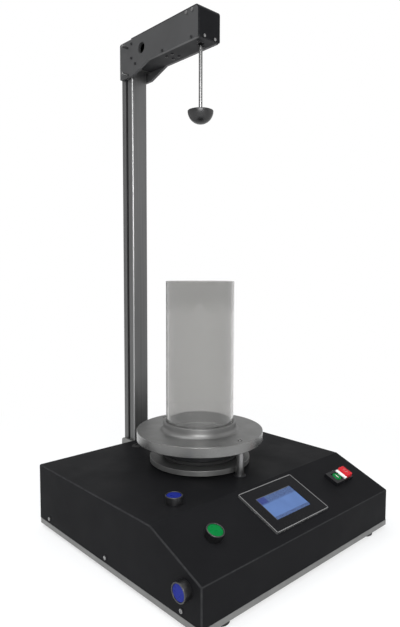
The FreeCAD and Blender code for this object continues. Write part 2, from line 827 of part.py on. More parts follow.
# Column
def column_extrusion():
    """Square profile with a T slot in its left and right faces."""
    column = Piece("column_extrusion")
    half = "column_side / 2"
    front, rear = f"{COLUMN_AXIS} - {half}", f"{COLUMN_AXIS} + {half}"
    flank = [
        (half, "slot_mouth / 2"),
        (f"{half} - slot_lip", "slot_mouth / 2"),
        (f"{half} - slot_lip", "slot_wide / 2"),
        (f"{half} - slot_deep + slot_corner", "slot_wide / 2"),
        (f"{half} - slot_deep", "slot_wide / 2 - slot_corner"),
    ]
    toward_front = [(x, f"{COLUMN_AXIS} - ({y})") for x, y in flank]
    toward_rear = [(x, f"{COLUMN_AXIS} + ({y})") for x, y in reversed(flank)]
    right = [(half, front)] + toward_front + toward_rear + [(half, rear)]
    left = [(f"-({x})", y) for x, y in reversed(right)]
    drawing = column.sketch(lift="foot_height + column_lift")
    outline(drawing, right + left)
    circles(drawing, [("0", COLUMN_AXIS, "column_core")])
    near = f"({half} - chamber_inset - chamber_side)"
    far = f"({half} - chamber_inset)"
    for x_sign, y_sign in across(("-", "0 + "), ("-", "+")):
        block(drawing, f"{x_sign}{near}", f"{x_sign}{far}",
              f"{COLUMN_AXIS} {y_sign} {near}", f"{COLUMN_AXIS} {y_sign} {far}")
    column.pad(drawing, f"{COLUMN_TOP} - foot_height - column_lift")
    box = column.body.Tip.Shape.BoundBox

    def corner(edge):
        own = edge.BoundBox
        side = min(own.XMin - box.XMin, box.XMax - own.XMax)
        depth = min(own.YMin - box.YMin, box.YMax - own.YMax)
        return along(Z_AXIS)(edge) and side < TOUCH and depth < TOUCH

    column.dress("Fillet", "column_round", corner)


def column_cap():
    cap = Piece("column_cap")
    half = "column_side / 2"
    drawing = cap.sketch(lift=COLUMN_TOP)
    block(drawing, f"-{half}", half, "cover_rear", "cover_rear + column_side")
    cap.pad(drawing, "column_cap_thick")
    cap.dress("Fillet", "column_round", along(Z_AXIS))


def column_bracket(sign):
    """Angle that ties one side of the column to the rear of the base."""
    bracket = Piece("column_bracket", shared=True)
    near, outer = f"{sign}column_side / 2", f"{sign}(column_side / 2 + bracket_thick)"
    end = f"{sign}(column_side / 2 + bracket_leg)"
    across_x = (near, outer) if sign == "" else (outer, near)
    drawing = block(bracket.sketch(lift=PLATE_TOP), *across_x, "cover_rear", "cover_rear + bracket_reach")
    bracket.pad(drawing, "cover_height")
    across_x = (outer, end) if sign == "" else (end, outer)
    drawing = block(bracket.sketch(lift=PLATE_TOP), *across_x, "cover_rear", "cover_rear + bracket_thick")
    bracket.pad(drawing, "cover_height - bracket_step")
    box = bracket.body.Tip.Shape.BoundBox

    def rounded(edge):
        own = edge.BoundBox
        high_rear = own.YMin > box.YMax - TOUCH and own.ZMin > box.ZMax - TOUCH
        width = own.XMax - own.XMin
        return high_rear and width > 0.01

    bracket.dress("Fillet", "bracket_round", rounded)
    side = bracket.sketch("YZ_Plane")
    circles(side, [(COLUMN_AXIS, z, "screw_radius * 2 + slip") for z in BRACKET_RISES])
    bracket.pocket(side, "column_side + 4 * bracket_thick", middle=True)
    leg = bracket.sketch("XZ_Plane", lift="-cover_rear")
    spots = [(f"{own}({x})", z, "screw_radius * 2 + slip") for own, x, z in BRACKET_SPOTS if own == sign]
    circles(leg, spots)
    bracket.pocket(leg, "bracket_thick + 1")
    return bracket


def socket_screw(label, at, axis, angle, grip):
    """Cap screw: the head stands on z = 0, and the shank runs down by its grip."""
    screw = Piece(label, at, axis, angle, shared=True)
    screw.pad(circles(screw.sketch(), [("0", "0", "screw_radius * 3")]), "screw_radius * 3")
    screw.pocket(hexagon(screw.sketch(lift="screw_radius * 3"), "screw_radius * 1.5"), "screw_radius * 1.6")
    screw.pad(circles(screw.sketch(), [("0", "0", "screw_radius * 2")]), grip, back=True)
    return screw


def bracket_screws():
    side = []
    for sign, turn in (("-", "-90"), ("", "90")):
        for rise in BRACKET_RISES:
            at = (f"{sign}(column_side / 2 + bracket_thick)", COLUMN_AXIS, rise)
            side.append(socket_screw("bracket_screw", at, (0, 1, 0), turn, "bracket_thick + slot_lip + 3"))
    for sign, x, z in BRACKET_SPOTS:
        at = (f"{sign}({x})", "cover_rear + bracket_thick", z)
        grip = "bracket_thick + cover_wall + support_thick"
        side.append(socket_screw("bracket_screw", at, (1, 0, 0), "-90", grip))
    group("bracket_screws", side)


def slot_nut(at, turn):
    """Nut behind the slot lips: its tapped hole takes the screw."""
    nut = Piece("slot_nut", at, (0, 1, 0), turn, shared=True)
    side = "(slot_wide / 2 - slip)"
    drawing = nut.sketch()
    block(drawing, f"-{side}", side, f"-{side}", side)
    nut.pad(drawing, "nut_thick", back=True)
    tap = circles(nut.sketch(), [("0", "0", "screw_radius * 2 + running")])
    nut.pocket(tap, "nut_thick")
    return nut


def slot_nuts():
    nuts = []
    for sign, turn in (("-", "-90"), ("", "90")):
        for rise in BRACKET_RISES:
            nuts.append(slot_nut((f"{sign}(column_side / 2 - slot_lip)", COLUMN_AXIS, rise), turn))
    group("slot_nuts", nuts)


def column_support():
    support = Piece("column_support")
    drawing = support.sketch("YZ_Plane")
    front = "cover_rear - cover_wall - support_thick"
    rear = "cover_rear - cover_wall"
    outline(drawing, [
        (rear, PLATE_TOP),
        (rear, f"{PLATE_TOP} + support_height"),
        (front, f"{PLATE_TOP} + support_height"),
        (front, f"{PLATE_TOP} + support_thick"),
        (f"{rear} - support_foot", f"{PLATE_TOP} + support_thick"),
        (f"{rear} - support_foot", PLATE_TOP),
    ])
    support.pad(drawing, "support_width", middle=True)
    holes = support.sketch("XZ_Plane", lift="-cover_rear + cover_wall")
    spots = [(f"{sign}({x})", z, "screw_radius * 2 + running") for sign, x, z in BRACKET_SPOTS]
    circles(holes, spots)
    support.pocket(holes, "support_thick + 1", back=True)


def rear_fittings():
    """Mains inlet and air fitting, seated in the rear panel."""
    at = (INLET_X, "cover_rear", "inlet_rise")
    inlet = Piece("power_inlet", at, (1, 0, 0), "-90")
    half_wide, half_tall = "(inlet_wide / 2 - slip)", "(inlet_tall / 2 - slip)"
    flange = inlet.sketch()
    ear = f"({half_wide} + inlet_flange)"
    block(flange, f"-{ear}", ear, f"-{half_tall} - inlet_wall", f"{half_tall} + inlet_wall")
    circles(flange, [(f"{sign}({half_wide} + inlet_flange / 2)", "0", "screw_radius + slip")
                     for sign in ("-", "0 + ")])
    inlet.pad(flange, "inlet_lip")
    inlet.dress("Fillet", "inlet_lip", along(Z_AXIS))
    inlet.pad(block(inlet.sketch(), f"-{half_wide}", half_wide, f"-{half_tall}", half_tall),
              "inlet_depth", back=True)
    cup = inlet.sketch(lift="inlet_lip")
    wide, tall = f"({half_wide} - inlet_wall)", f"({half_tall} - inlet_wall)"
    outline(cup, [
        (f"-{wide}", f"-{tall}"),
        (wide, f"-{tall}"),
        (wide, f"{tall} - inlet_cut"),
        (f"{wide} - inlet_cut", tall),
        (f"-{wide} + inlet_cut", tall),
        (f"-{wide}", f"{tall} - inlet_cut"),
    ])
    inlet.pocket(cup, "inlet_depth - inlet_wall / 2")
    for x, y in (("-blade_pitch", "-blade_drop"), ("0", "blade_drop"), ("blade_pitch", "-blade_drop")):
        blade = inlet.sketch(lift="2 * inlet_wall - inlet_depth")
        block(blade, f"{x} - blade_wide / 2", f"{x} + blade_wide / 2", f"{y} - blade_tall / 2",
              f"{y} + blade_tall / 2")
        inlet.pad(blade, "inlet_depth - 3 * inlet_wall")

    ring("air_inlet", [
        ("air_bore", "-air_reach"),
        ("air_radius", "-air_reach"),
        ("air_radius", "0"),
        ("air_radius + air_flange", "0"),
        ("air_radius + air_flange", "air_flange_thick"),
        ("air_radius + air_neck", "air_flange_thick + air_neck"),
        ("air_radius + air_neck", "air_reach - 3 * air_neck"),
        ("air_radius", "air_reach - 2 * air_neck"),
        ("air_radius", "air_reach"),
        ("air_bore", "air_reach"),
    ], at=(AIR_X, "cover_rear", "inlet_rise"), axis=(1, 0, 0), angle="-90")


def cable_grommet():
    ring("cable_grommet", [
        ("grommet_radius / 2", "-2 * cover_wall"),
        ("grommet_radius + grommet_lip / 2", "-2 * cover_wall"),
        ("grommet_radius + grommet_lip / 2", "-cover_wall"),
        ("grommet_radius - slip", "-cover_wall"),
        ("grommet_radius - slip", "0"),
        ("grommet_radius + grommet_lip", "0"),
        ("grommet_radius + grommet_lip", "grommet_rise / 3"),
        ("grommet_radius", "grommet_rise"),
        ("grommet_radius / 2", "grommet_rise"),
    ], at=("-grommet_left", "grommet_back", COVER_TOP))


# What works inside the base
def power_supply():
    """Perforated metal case with a terminal strip at its front."""
    at = (f"-({HALF_COVER} - supply_inset)", "supply_front", PLATE_TOP)
    case = Piece("power_supply", at)
    case.pad(block(case.sketch(), "0", "supply_width", "0", "supply_depth"), "supply_height")
    ledge = case.sketch(lift="supply_height")
    block(ledge, "supply_edge", "supply_width - supply_edge", "-supply_edge", "supply_depth / 5")
    case.pocket(ledge, "supply_height / 2")
    strip = case.sketch(lift="supply_height / 2")
    ways = 7
    pitch = f"(supply_width - 2 * strip_margin) / {ways}"
    for step in range(ways):
        low = f"strip_margin + {pitch} * {step}"
        block(strip, low, f"{low} + {pitch} - strip_gap", "supply_edge / 2",
              "supply_depth / 5 - 3 / 2 * supply_edge")
    case.pad(strip, "strip_height")


def control_board():
    at = (f"{HALF_COVER} - board_inset - board_width", "-board_front", PLATE_TOP)
    board = Piece("control_board", at)
    margin = "board_width / 20"
    corners = across((margin, f"board_width - {margin}"), (margin, f"board_depth - {margin}"))
    board.pad(circles(board.sketch(), [(x, y, "board_width / 34") for x, y in corners]), "board_rise")
    board.pad(block(board.sketch(lift="board_rise"), "0", "board_width", "0", "board_depth"), "board_thick")
    chips = board.sketch(lift="board_rise + board_thick")
    block(chips, "board_width / 6", "board_width * 2 / 5", "board_depth / 3", "board_depth * 5 / 8")
    block(chips, "board_width / 2", "board_width * 5 / 6", "board_depth * 2 / 3", "board_depth * 5 / 6")
    block(chips, "board_width / 8", "board_width * 5 / 6", "board_depth / 12", "board_depth / 5")
    board.pad(chips, "board_width / 15")
    cans = board.sketch(lift="board_rise + board_thick")
    circles(cans, [(f"board_width * {share}", "board_depth * 2 / 5", "board_width / 24")
                   for share in ("8 / 15", "2 / 3", "4 / 5")])
    board.pad(cans, "board_width / 8")


def air_valve():
    at = ("valve_left", "valve_front", PLATE_TOP)
    valve = Piece("air_valve", at)
    valve.pad(block(valve.sketch(), "0", "valve_width", "0", "valve_depth"), "valve_height / 2")
    coils = valve.sketch(lift="valve_height / 2")
    for middle in ("valve_width / 4", "valve_width * 3 / 4"):
        circles(coils, [(middle, "valve_depth / 2", "valve_depth * 11 / 26")])
    valve.pad(coils, "valve_height / 2")


# Push buttons
def slope_point(x, down):
    return (x, f"-bend_ahead - ({down}) * cos({SLOPE})", f"{COVER_TOP} - ({down}) * sin({SLOPE})")


BUTTONS = {
    "raise_button": ((RAISE_X, "-raise_ahead", COVER_TOP), None, "0"),
    "release_button": (slope_point(RELEASE_X, "release_down"), (1, 0, 0), SLOPE),
    "clamp_button": (("-cover_width / 2", "-side_button_ahead", f"{PLATE_TOP} + side_button_rise"),
                     (0, 1, 0), "-90"),
}
CUP_RADIUS = "(button_radius - button_ring)"
CAP_FOOT = "(button_rim + button_travel + slip)"


def push_buttons():
    bezels, nuts, contacts = [], [], []
    for label, where in BUTTONS.items():
        bezel = Piece("button_bezel", *where, shared=True)
        bezel.revolve(outline(bezel.sketch("XZ_Plane"), [
            ("stem_radius + running", "-button_depth"),
            ("button_hole", "-button_depth"),
            ("button_hole", "0"),
            ("button_radius", "0"),
            ("button_radius", "button_height - button_break"),
            ("button_radius - button_break", "button_height"),
            (CUP_RADIUS, "button_height"),
            (CUP_RADIUS, "button_rim"),
            ("stem_radius + running", "button_rim"),
        ]))
        bezels.append(bezel)
        nut = Piece("button_nut", *where, shared=True)
        drawing = hexagon(nut.sketch(lift="-cover_wall - button_nut"), "button_radius")
        circles(drawing, [("0", "0", "button_hole + running")])
        nut.pad(drawing, "button_nut")
        nuts.append(nut)
        contact = Piece("button_contact", *where, shared=True)
        half = "contact_side / 2"
        drawing = block(contact.sketch(lift="-button_depth"), f"-{half}", half, f"-{half}", half)
        contact.pad(drawing, "contact_depth", back=True)
        well = circles(contact.sketch(lift="-button_depth"), [("0", "0", "stem_radius + stem_foot")])
        contact.pocket(well, "2 * button_travel")
        contacts.append(contact)
        cap = Piece(label, *where)
        cap.revolve(outline(cap.sketch("XZ_Plane"), [
            ("0", "-button_depth - stem_foot"),
            ("stem_radius", "-button_depth - stem_foot"),
            ("stem_radius", CAP_FOOT),
            (f"{CUP_RADIUS} - slip", CAP_FOOT),
            (f"{CUP_RADIUS} - slip", "button_height - cap_recess - cap_break"),
            (f"{CUP_RADIUS} - slip - cap_break", "button_height - cap_recess"),
            ("0", "button_height - cap_recess"),
        ]))
    group("button_bezels", bezels)
    group("button_nuts", nuts)
    group("button_contacts", contacts)


# Touch panel
def touch_panel():
    where = (slope_point("panel_right", "panel_down"), (1, 0, 0), SLOPE)
    half_wide, half_tall = "(panel_width / 2)", "(panel_height / 2)"
    left, right = "(-screen_left - screen_width / 2)", "(-screen_left + screen_width / 2)"
    low, high = "(-screen_height / 2)", "(screen_height / 2)"
    frame = Piece("panel_frame", *where)
    frame.pad(block(frame.sketch(), f"-{half_wide}", half_wide, f"-{half_tall}", half_tall), "panel_thick")
    frame.dress("Fillet", "2 * panel_edge", along(Z_AXIS))
    rim_wide, rim_tall = f"({half_wide} - panel_edge)", f"({half_tall} - panel_edge)"
    tray = block(frame.sketch(lift="panel_thick"), f"-{rim_wide}", rim_wide, f"-{rim_tall}", rim_tall)
    frame.pocket(tray, "panel_thick / 2")
    window = frame.sketch(lift="panel_thick")
    lip = "screen_lip"
    block(window, f"{left} - {lip}", f"{right} + {lip}", f"{low} - {lip}", f"{high} + {lip}")
    frame.pocket(window, "panel_thick")
    bezel = Piece("panel_bezel", *where)
    drawing = bezel.sketch(lift="panel_thick / 2")
    inset = "(panel_edge + slip)"
    block(drawing, f"-{half_wide} + {inset}", f"{half_wide} - {inset}",
          f"-{half_tall} + {inset}", f"{half_tall} - {inset}")
    block(drawing, left, right, low, high)
    bezel.pad(drawing, "panel_thick / 2 - slip")
    screen = Piece("panel_screen", *where)
    half_lip = "screen_lip / 2"
    display = block(screen.sketch(lift="-panel_depth / 2"), f"{left} - {half_lip}", f"{right} + {half_lip}",
                    f"{low} - {half_lip}", f"{high} + {half_lip}")
    screen.pad(display, "panel_depth / 2 + panel_thick / 2 - slip")
    inner = block(screen.sketch(lift="panel_thick / 2 - slip"), f"{left} + slip", f"{right} - slip",
                  f"{low} + slip", f"{high} - slip")
    screen.pad(inner, "panel_thick / 4 + slip")
    housing = Piece("panel_housing", *where)
    wide, tall = f"({half_wide} - panel_lip - slip)", f"({half_tall} - panel_lip - slip)"
    drawing = housing.sketch()
    block(drawing, f"-{wide}", wide, f"-{tall}", tall)
    housing.pad(drawing, "panel_depth", back=True)
    housing.dress("Fillet", "panel_lip / 2", along(Z_AXIS))
    seat = block(housing.sketch(), f"{left} - {lip}", f"{right} + {lip}", f"{low} - {lip}", f"{high} + {lip}")
    housing.pocket(seat, "panel_depth / 2")


# Mains switch
def mains_switch():
    where = (slope_point(SWITCH_X, "switch_down"), (1, 0, 0), SLOPE)
    half_wide, half_tall = "(switch_width / 2)", "(switch_height / 2)"
    inner_tall = f"({half_tall} - switch_rim)"
    cup = "(switch_floor + switch_travel + slip)"
    housing = Piece("switch_housing", *where)
    outer = block(housing.sketch(), f"-{half_wide}", half_wide, f"-{half_tall}", half_tall)
    housing.pad(outer, "switch_rise")
    housing.dress("Fillet", "switch_rim", along(Z_AXIS))
    wells = housing.sketch(lift="switch_rise")
    circles(wells, [("-on_left", "0", "on_radius + slip")])
    block(wells, "lamp_left + slip", "off_right", f"-{inner_tall}", inner_tall)
    housing.pocket(wells, "switch_rise - switch_floor")
    lamp = Piece("switch_lamp", *where)
    drawing = lamp.sketch(lift="switch_floor")
    block(drawing, "lamp_left + 2 * slip", "lamp_right", f"-{inner_tall} + slip", f"{inner_tall} - slip")
    lamp.pad(drawing, "lamp_rise - switch_floor")
    lamp.dress("Fillet", "lamp_round", lambda edge: top_of(lamp, edge))
    off = Piece("off_button", *where)
    drawing = off.sketch(lift=cup)
    block(drawing, "lamp_right + slip", "off_right - slip", f"-{inner_tall} + slip", f"{inner_tall} - slip")
    off.pad(drawing, f"off_rise - {cup}")
    foot = off.body.Tip.Shape.BoundBox.ZMin
    off.dress("Fillet", "off_round", lambda edge: edge.BoundBox.ZMax > foot + TOUCH)
    on = Piece("on_button", *where)
    drawing = circles(on.sketch(lift=cup), [("-on_left", "0", "on_radius")])
    on.pad(drawing, f"switch_rise - {cup}")
    on.dress("Chamfer", "on_break", lambda edge: top_of(on, edge))
    contacts = Piece("switch_block", *where)
    wide, tall = f"({half_wide} - switch_lip - slip)", f"({half_tall} - switch_lip - slip)"
    drawing = block(contacts.sketch(), f"-{wide}", wide, f"-{tall}", tall)
    contacts.pad(drawing, "switch_depth", back=True)


# Drop head
FLOOR_MIDDLE = f"({HEAD_UNDER} + floor_thick / 2)"
TIE_SCREWS = [
    ("-tie_screw_front", f"{HEAD_TOP} - tie_bar_height / 2"),
    ("tie_screw_back", f"{HEAD_TOP} - tie_bar_height / 2"),
]
SIDE_SCREWS = [
    ("-floor_screw_front", FLOOR_MIDDLE),
    ("terminal_back", FLOOR_MIDDLE),
    ("gusset_low - floor_screw_rear", FLOOR_MIDDLE),
]
GUIDE_SCREWS = [
    ("cover_rear - guide_block_thick * 4 / 5", f"{HEAD_TOP} - guide_screw_drop"),
    ("cover_rear - guide_block_thick * 3 / 4", f"{HEAD_UNDER} + guide_screw_rise"),
]
CHEEK_SCREWS = TIE_SCREWS + SIDE_SCREWS + GUIDE_SCREWS
MAGNET_SCREWS = [
    ("-magnet_screw_pitch / 2", "-magnet_screw_shift"),
    ("magnet_screw_pitch / 2", "magnet_screw_shift"),
]
TERMINAL_SCREWS = [
    (f"{side}terminal_screw_pitch / 2", f"terminal_back {way} terminal_screw_pitch / 2")
    for side in ("-", "") for way in ("-", "+")
]
UNDER_SCREWS = MAGNET_SCREWS + TERMINAL_SCREWS
FRONT_SCREWS = ("-cheek_front * 5 / 8", "cheek_front * 5 / 8")
GUIDE_FRONT = "(cover_rear - slip - guide_block_thick)"
JACKS = [("jack_back", f"{HEAD_TOP} - jack_high"), ("jack_back", f"{HEAD_TOP} - jack_low")]
LEFT_HOLES = [("cable_hole_back", f"{HEAD_TOP} - cable_hole_drop", "cable_hole_radius")]
LEFT_HOLES += [(y, z, "jack_radius + running") for y, z in JACKS]


def head_cheek(label, sign, holes):
    cheek = Piece(label)
    low = f"({HEAD_UNDER} - cheek_drop)"
    drawing = cheek.sketch("YZ_Plane", lift=f"{sign}({HALF_HEAD} - cheek_thick / 2)")
    outline(drawing, [
        ("-cheek_front", HEAD_UNDER),
        ("gusset_high", HEAD_UNDER),
        ("gusset_low", low),
        ("cheek_rear", low),
        ("cheek_rear", HEAD_TOP),
        ("-cheek_front", HEAD_TOP),
    ])
    cheek.pad(drawing, "cheek_thick", middle=True)
    box = cheek.body.Tip.Shape.BoundBox

    def nose(edge):
        own = edge.BoundBox
        return along(X_AXIS)(edge) and own.YMax < box.YMin + TOUCH and own.ZMin > box.ZMax - TOUCH

    def other_corner(edge):
        own = edge.BoundBox
        end = own.YMax < box.YMin + TOUCH or own.YMin > box.YMax - TOUCH
        return along(X_AXIS)(edge) and end

    cheek.dress("Fillet", "cheek_nose", nose)
    cheek.dress("Fillet", "cheek_round", other_corner)
    screws = cheek.sketch("YZ_Plane")
    circles(screws, [(y, z, "screw_radius + slip") for y, z in CHEEK_SCREWS] + holes)
    cheek.pocket(screws, "head_width + 2", middle=True)


def head_floor():
    floor = Piece("head_floor")
    wide = f"({INNER_HEAD})"
    drawing = floor.sketch(lift=HEAD_UNDER)
    block(drawing, f"-{wide}", wide, "-cheek_front", GUIDE_FRONT)
    circles(drawing, [("0", "0", "pole_radius + slip")])
    circles(drawing, [(x, y, "screw_radius + slip") for x, y in UNDER_SCREWS])
    floor.pad(drawing, "floor_thick")
    taps = floor.sketch("YZ_Plane")
    circles(taps, [(y, z, "screw_radius + slip / 2") for y, z in SIDE_SCREWS])
    floor.pocket(taps, "head_width", middle=True)
    front = floor.sketch("XZ_Plane", lift="cheek_front")
    circles(front, [(x, FLOOR_MIDDLE, "screw_radius + slip / 2") for x in FRONT_SCREWS])
    floor.pocket(front, "screw_depth + 2")


def head_cover():
    cover = Piece("head_cover")
    top = f"({HEAD_TOP} + head_cover_thick)"
    front = "(-cheek_front - head_front_thick)"
    outline(cover.sketch("YZ_Plane"), [
        (front, HEAD_UNDER),
        ("-cheek_front", HEAD_UNDER),
        ("-cheek_front", HEAD_TOP),
        ("head_cover_back", HEAD_TOP),
        ("head_cover_back", top),
        (front, top),
    ])
    drawing = cover.body.Group[-1]
    cover.pad(drawing, "head_width", middle=True)
    box = cover.body.Tip.Shape.BoundBox

    def front_corner(edge):
        own = edge.BoundBox
        return along(Y_AXIS)(edge) and own.ZMax < box.ZMin + TOUCH

    def bend(edge):
        own = edge.BoundBox
        return along(X_AXIS)(edge) and own.ZMin > box.ZMax - TOUCH and own.YMax < box.YMin + TOUCH

    def inner_bend(edge):
        own = edge.BoundBox
        under = abs(own.ZMax - box.ZMax + SIZES["head_cover_thick"]) < TOUCH
        return along(X_AXIS)(edge) and under and own.YMax < box.YMin + SIZES["head_front_thick"] + TOUCH

    cover.dress("Fillet", "head_front_round", front_corner)
    cover.dress("Fillet", "head_bend", bend)
    cover.dress("Fillet", "head_bend - head_front_thick", inner_bend)
    holes = cover.sketch("XZ_Plane", lift=f"-{front}")
    circles(holes, [(x, FLOOR_MIDDLE, "screw_radius + slip") for x in FRONT_SCREWS])
    cover.pocket(holes, "head_front_thick + 1")


def tapped_bar(label, front, back, low, high, rows):
    """Bar between the cheeks that takes their screws."""
    bar = Piece(label)
    wide = f"({INNER_HEAD})"
    drawing = block(bar.sketch(lift=low), f"-{wide}", wide, front, back)
    bar.pad(drawing, f"{high} - {low}")
    taps = bar.sketch("YZ_Plane")
    circles(taps, [(y, z, "screw_radius + slip / 2") for y, z in rows])
    bar.pocket(taps, "head_width", middle=True)


def slide_keys():
    """T-shaped keys on the cheeks that run in the column's slots."""
    keys = Piece("slide_keys")
    drawing = keys.sketch(lift=f"{HEAD_UNDER} - cheek_drop + key_rise")
    root, mouth = INNER_HEAD, "(column_side / 2 - slot_lip - key_slack)"
    neck, arm = "(slot_mouth / 2 - key_slack)", "(slot_wide / 2 - key_slack)"
    side = [
        (root, f"-{neck}"),
        (root, neck),
        (mouth, neck),
        (mouth, arm),
        (f"{mouth} - key_depth", arm),
        (f"{mouth} - key_depth", f"-{arm}"),
        (mouth, f"-{arm}"),
        (mouth, f"-{neck}"),
    ]
    outline(drawing, [(x, f"{COLUMN_AXIS} + {y}") for x, y in side])
    key = keys.pad(drawing, "key_length")
    keys.mirror("YZ_Plane", [key])


def cheek_screws():
    screws = Piece("cheek_screws", shared=True)
    heads = screws.sketch("YZ_Plane", lift=HALF_HEAD)
    circles(heads, [(y, z, "screw_head_radius") for y, z in CHEEK_SCREWS])
    caps = screws.pad(heads, "screw_head")
    shanks = screws.sketch("YZ_Plane", lift=HALF_HEAD)
    circles(shanks, [(y, z, "screw_radius") for y, z in CHEEK_SCREWS])
    stems = screws.pad(shanks, "cheek_thick + screw_depth", back=True)
    screws.mirror("YZ_Plane", [caps, stems])
    return screws


def front_screws():
    screws = Piece("front_screws", shared=True)
    front = "(cheek_front + head_front_thick)"
    height = FLOOR_MIDDLE
    heads = screws.sketch("XZ_Plane", lift=front)
    screws.pad(circles(heads, [(x, height, "screw_head_radius") for x in FRONT_SCREWS]), "screw_head")
    shanks = screws.sketch("XZ_Plane", lift=front)
    circles(shanks, [(x, height, "screw_radius") for x in FRONT_SCREWS])
    screws.pad(shanks, "head_front_thick + screw_depth", back=True)
    return screws


def floor_screws():
    screws = Piece("floor_screws", shared=True)
    heads = screws.sketch(lift=HEAD_UNDER)
    circles(heads, [(x, y, "screw_head_radius") for x, y in UNDER_SCREWS])
    screws.pad(heads, "screw_head", back=True)
    shanks = screws.sketch(lift=HEAD_UNDER)
    screws.pad(circles(shanks, [(x, y, "screw_radius") for x, y in UNDER_SCREWS]),
               "floor_thick + magnet_base")
    return screws


def set_screws():
    """Two bright set screws that lock the head on the column."""
    screws = Piece("head_set_screws")
    drawing = screws.sketch("YZ_Plane", lift="-column_side / 2 - slip")
    circles(drawing, [(y, z, "jack_radius") for y, z in JACKS])
    screws.pad(drawing, f"{HALF_HEAD} - column_side / 2 - slip + jack_proud", back=True)
    screws.dress("Chamfer", "jack_radius / 5", lambda edge: edge.isClosed())


def electromagnet():
    """Coil case on the head floor, with its pole down through the floor."""
    piece = Piece("electromagnet")
    pole = f"({HEAD_UNDER} + pole_recess)"
    top = f"({HEAD_UNDER} + floor_thick)"
    piece.revolve(outline(piece.sketch("XZ_Plane"), [
        ("0", pole),
        ("pole_radius - pole_break", pole),
        ("pole_radius", f"{pole} + pole_break"),
        ("pole_radius", top),
        ("magnet_radius + magnet_flange", top),
        ("magnet_radius + magnet_flange", f"{top} + magnet_base"),
        ("magnet_radius", f"{top} + magnet_base"),
        ("magnet_radius", f"{top} + magnet_height - magnet_break"),
        ("magnet_radius - magnet_break", f"{top} + magnet_height"),
        ("0", f"{top} + magnet_height"),
    ]))
    holes = piece.sketch(lift=top)
    circles(holes, [(x, y, "screw_radius + slip / 2") for x, y in MAGNET_SCREWS])
    piece.pocket(holes, "magnet_base", back=True)


def terminal_block():
    terminal = Piece("terminal_block")
    half, top = "terminal_width / 2", f"({HEAD_UNDER} + floor_thick)"
    drawing = terminal.sketch(lift=top)
    front, rear = "terminal_back - terminal_depth / 2", "terminal_back + terminal_depth / 2"
    block(drawing, f"-{half}", half, front, rear)
    circles(drawing, [(x, y, "screw_radius + slip / 2") for x, y in TERMINAL_SCREWS])
    terminal.pad(drawing, "terminal_height")
    ways = terminal.sketch(lift=f"{top} + terminal_height")
    for step in range(4):
        low = f"-{half} + way_start + {step} * way_pitch"
        block(ways, low, f"{low} + way_width", f"{front} - way_width / 3",
              "terminal_back - way_width * 2 / 3")
    terminal.pocket(ways, "terminal_height / 2")


# Dart
def dart():
    ball = doc.addObject("Part::Sphere", "dart_ball")
    tie(ball, "Radius", "dart_radius")
    ball.Angle1 = -90
    ball.Angle2 = 0
    place(ball, ("0", "0", DART_CENTRE))
    socket = doc.addObject("Part::Cylinder", "dart_socket")
    tie(socket, "Radius", "shaft_radius + running")
    tie(socket, "Height", "shaft_seat + 1")
    place(socket, ("0", "0", f"{DART_CENTRE} - shaft_seat"))
    head = doc.addObject("Part::Cut", "dart_head")
    head.Label = "dart_head"
    head.Base = ball
    head.Tool = socket
    PARTS["dart_head"] = head
    neck = f"({SHAFT_TOP} - tip_length)"
    ring("dart_shaft", [
        ("0", f"{DART_CENTRE} - shaft_seat"),
        ("shaft_radius", f"{DART_CENTRE} - shaft_seat"),
        ("shaft_radius", neck),
        ("0", neck),
    ])
    ring("dart_tip", [
        ("0", neck),
        ("shaft_radius", neck),
        ("shaft_radius", f"{SHAFT_TOP} - tip_length / 2"),
        ("shaft_radius * 2 / 3", SHAFT_TOP),
        ("0", SHAFT_TOP),
    ])


base_plate()
rubber_feet()
foot_screws()
base_cover()
cover_rails()
cover_screws()
rear_panel()
catch_well()
dart_pad()
lower_clamp_ring()
upper_clamp_ring()
clamp_sleeve()
clamp_gasket()
shield_tube()
lift_posts()
lift_pistons()
lift_cylinders()
post_bushes()
post_screws()
column_extrusion()
column_cap()
group("column_brackets", [column_bracket("-"), column_bracket("")])
bracket_screws()
slot_nuts()
column_support()
rear_fittings()
cable_grommet()
power_supply()
control_board()
air_valve()
push_buttons()
touch_panel()
mains_switch()
head_cheek("head_cheek_left", "-", LEFT_HOLES)
head_cheek("head_cheek_right", "0 + ", [])
head_floor()
head_cover()
tapped_bar("head_tie_bar", "-cheek_front + cheek_nose", "-cheek_front + cheek_nose + tie_bar_length",
           f"({HEAD_TOP} - tie_bar_height)", HEAD_TOP, TIE_SCREWS)
tapped_bar("head_guide_block", GUIDE_FRONT, "cover_rear - slip", HEAD_UNDER,
           f"({HEAD_TOP} - guide_block_drop)", GUIDE_SCREWS)
slide_keys()
group("head_screws", [cheek_screws(), front_screws(), floor_screws()])
set_screws()
electromagnet()
terminal_block()
dart()

doc.recompute()
for item in doc.Objects:
    if "Invalid" in item.State or "Error" in item.State:
        raise RuntimeError(item.Label + " could not be built")
for label, item in PARTS.items():
    if item.Shape.isNull() or not item.Shape.isValid():
        raise RuntimeError(label + " has no valid shape")

os.makedirs("parts", exist_ok=True)
for label, item in PARTS.items():
    item.Shape.exportStep("parts/" + label + ".step")
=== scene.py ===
"""Falling dart impact tester: finishes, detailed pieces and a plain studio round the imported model."""

import math

import bmesh
import bpy
from bpy.props import FloatProperty, FloatVectorProperty, IntProperty, PointerProperty
from mathutils import Matrix, Vector


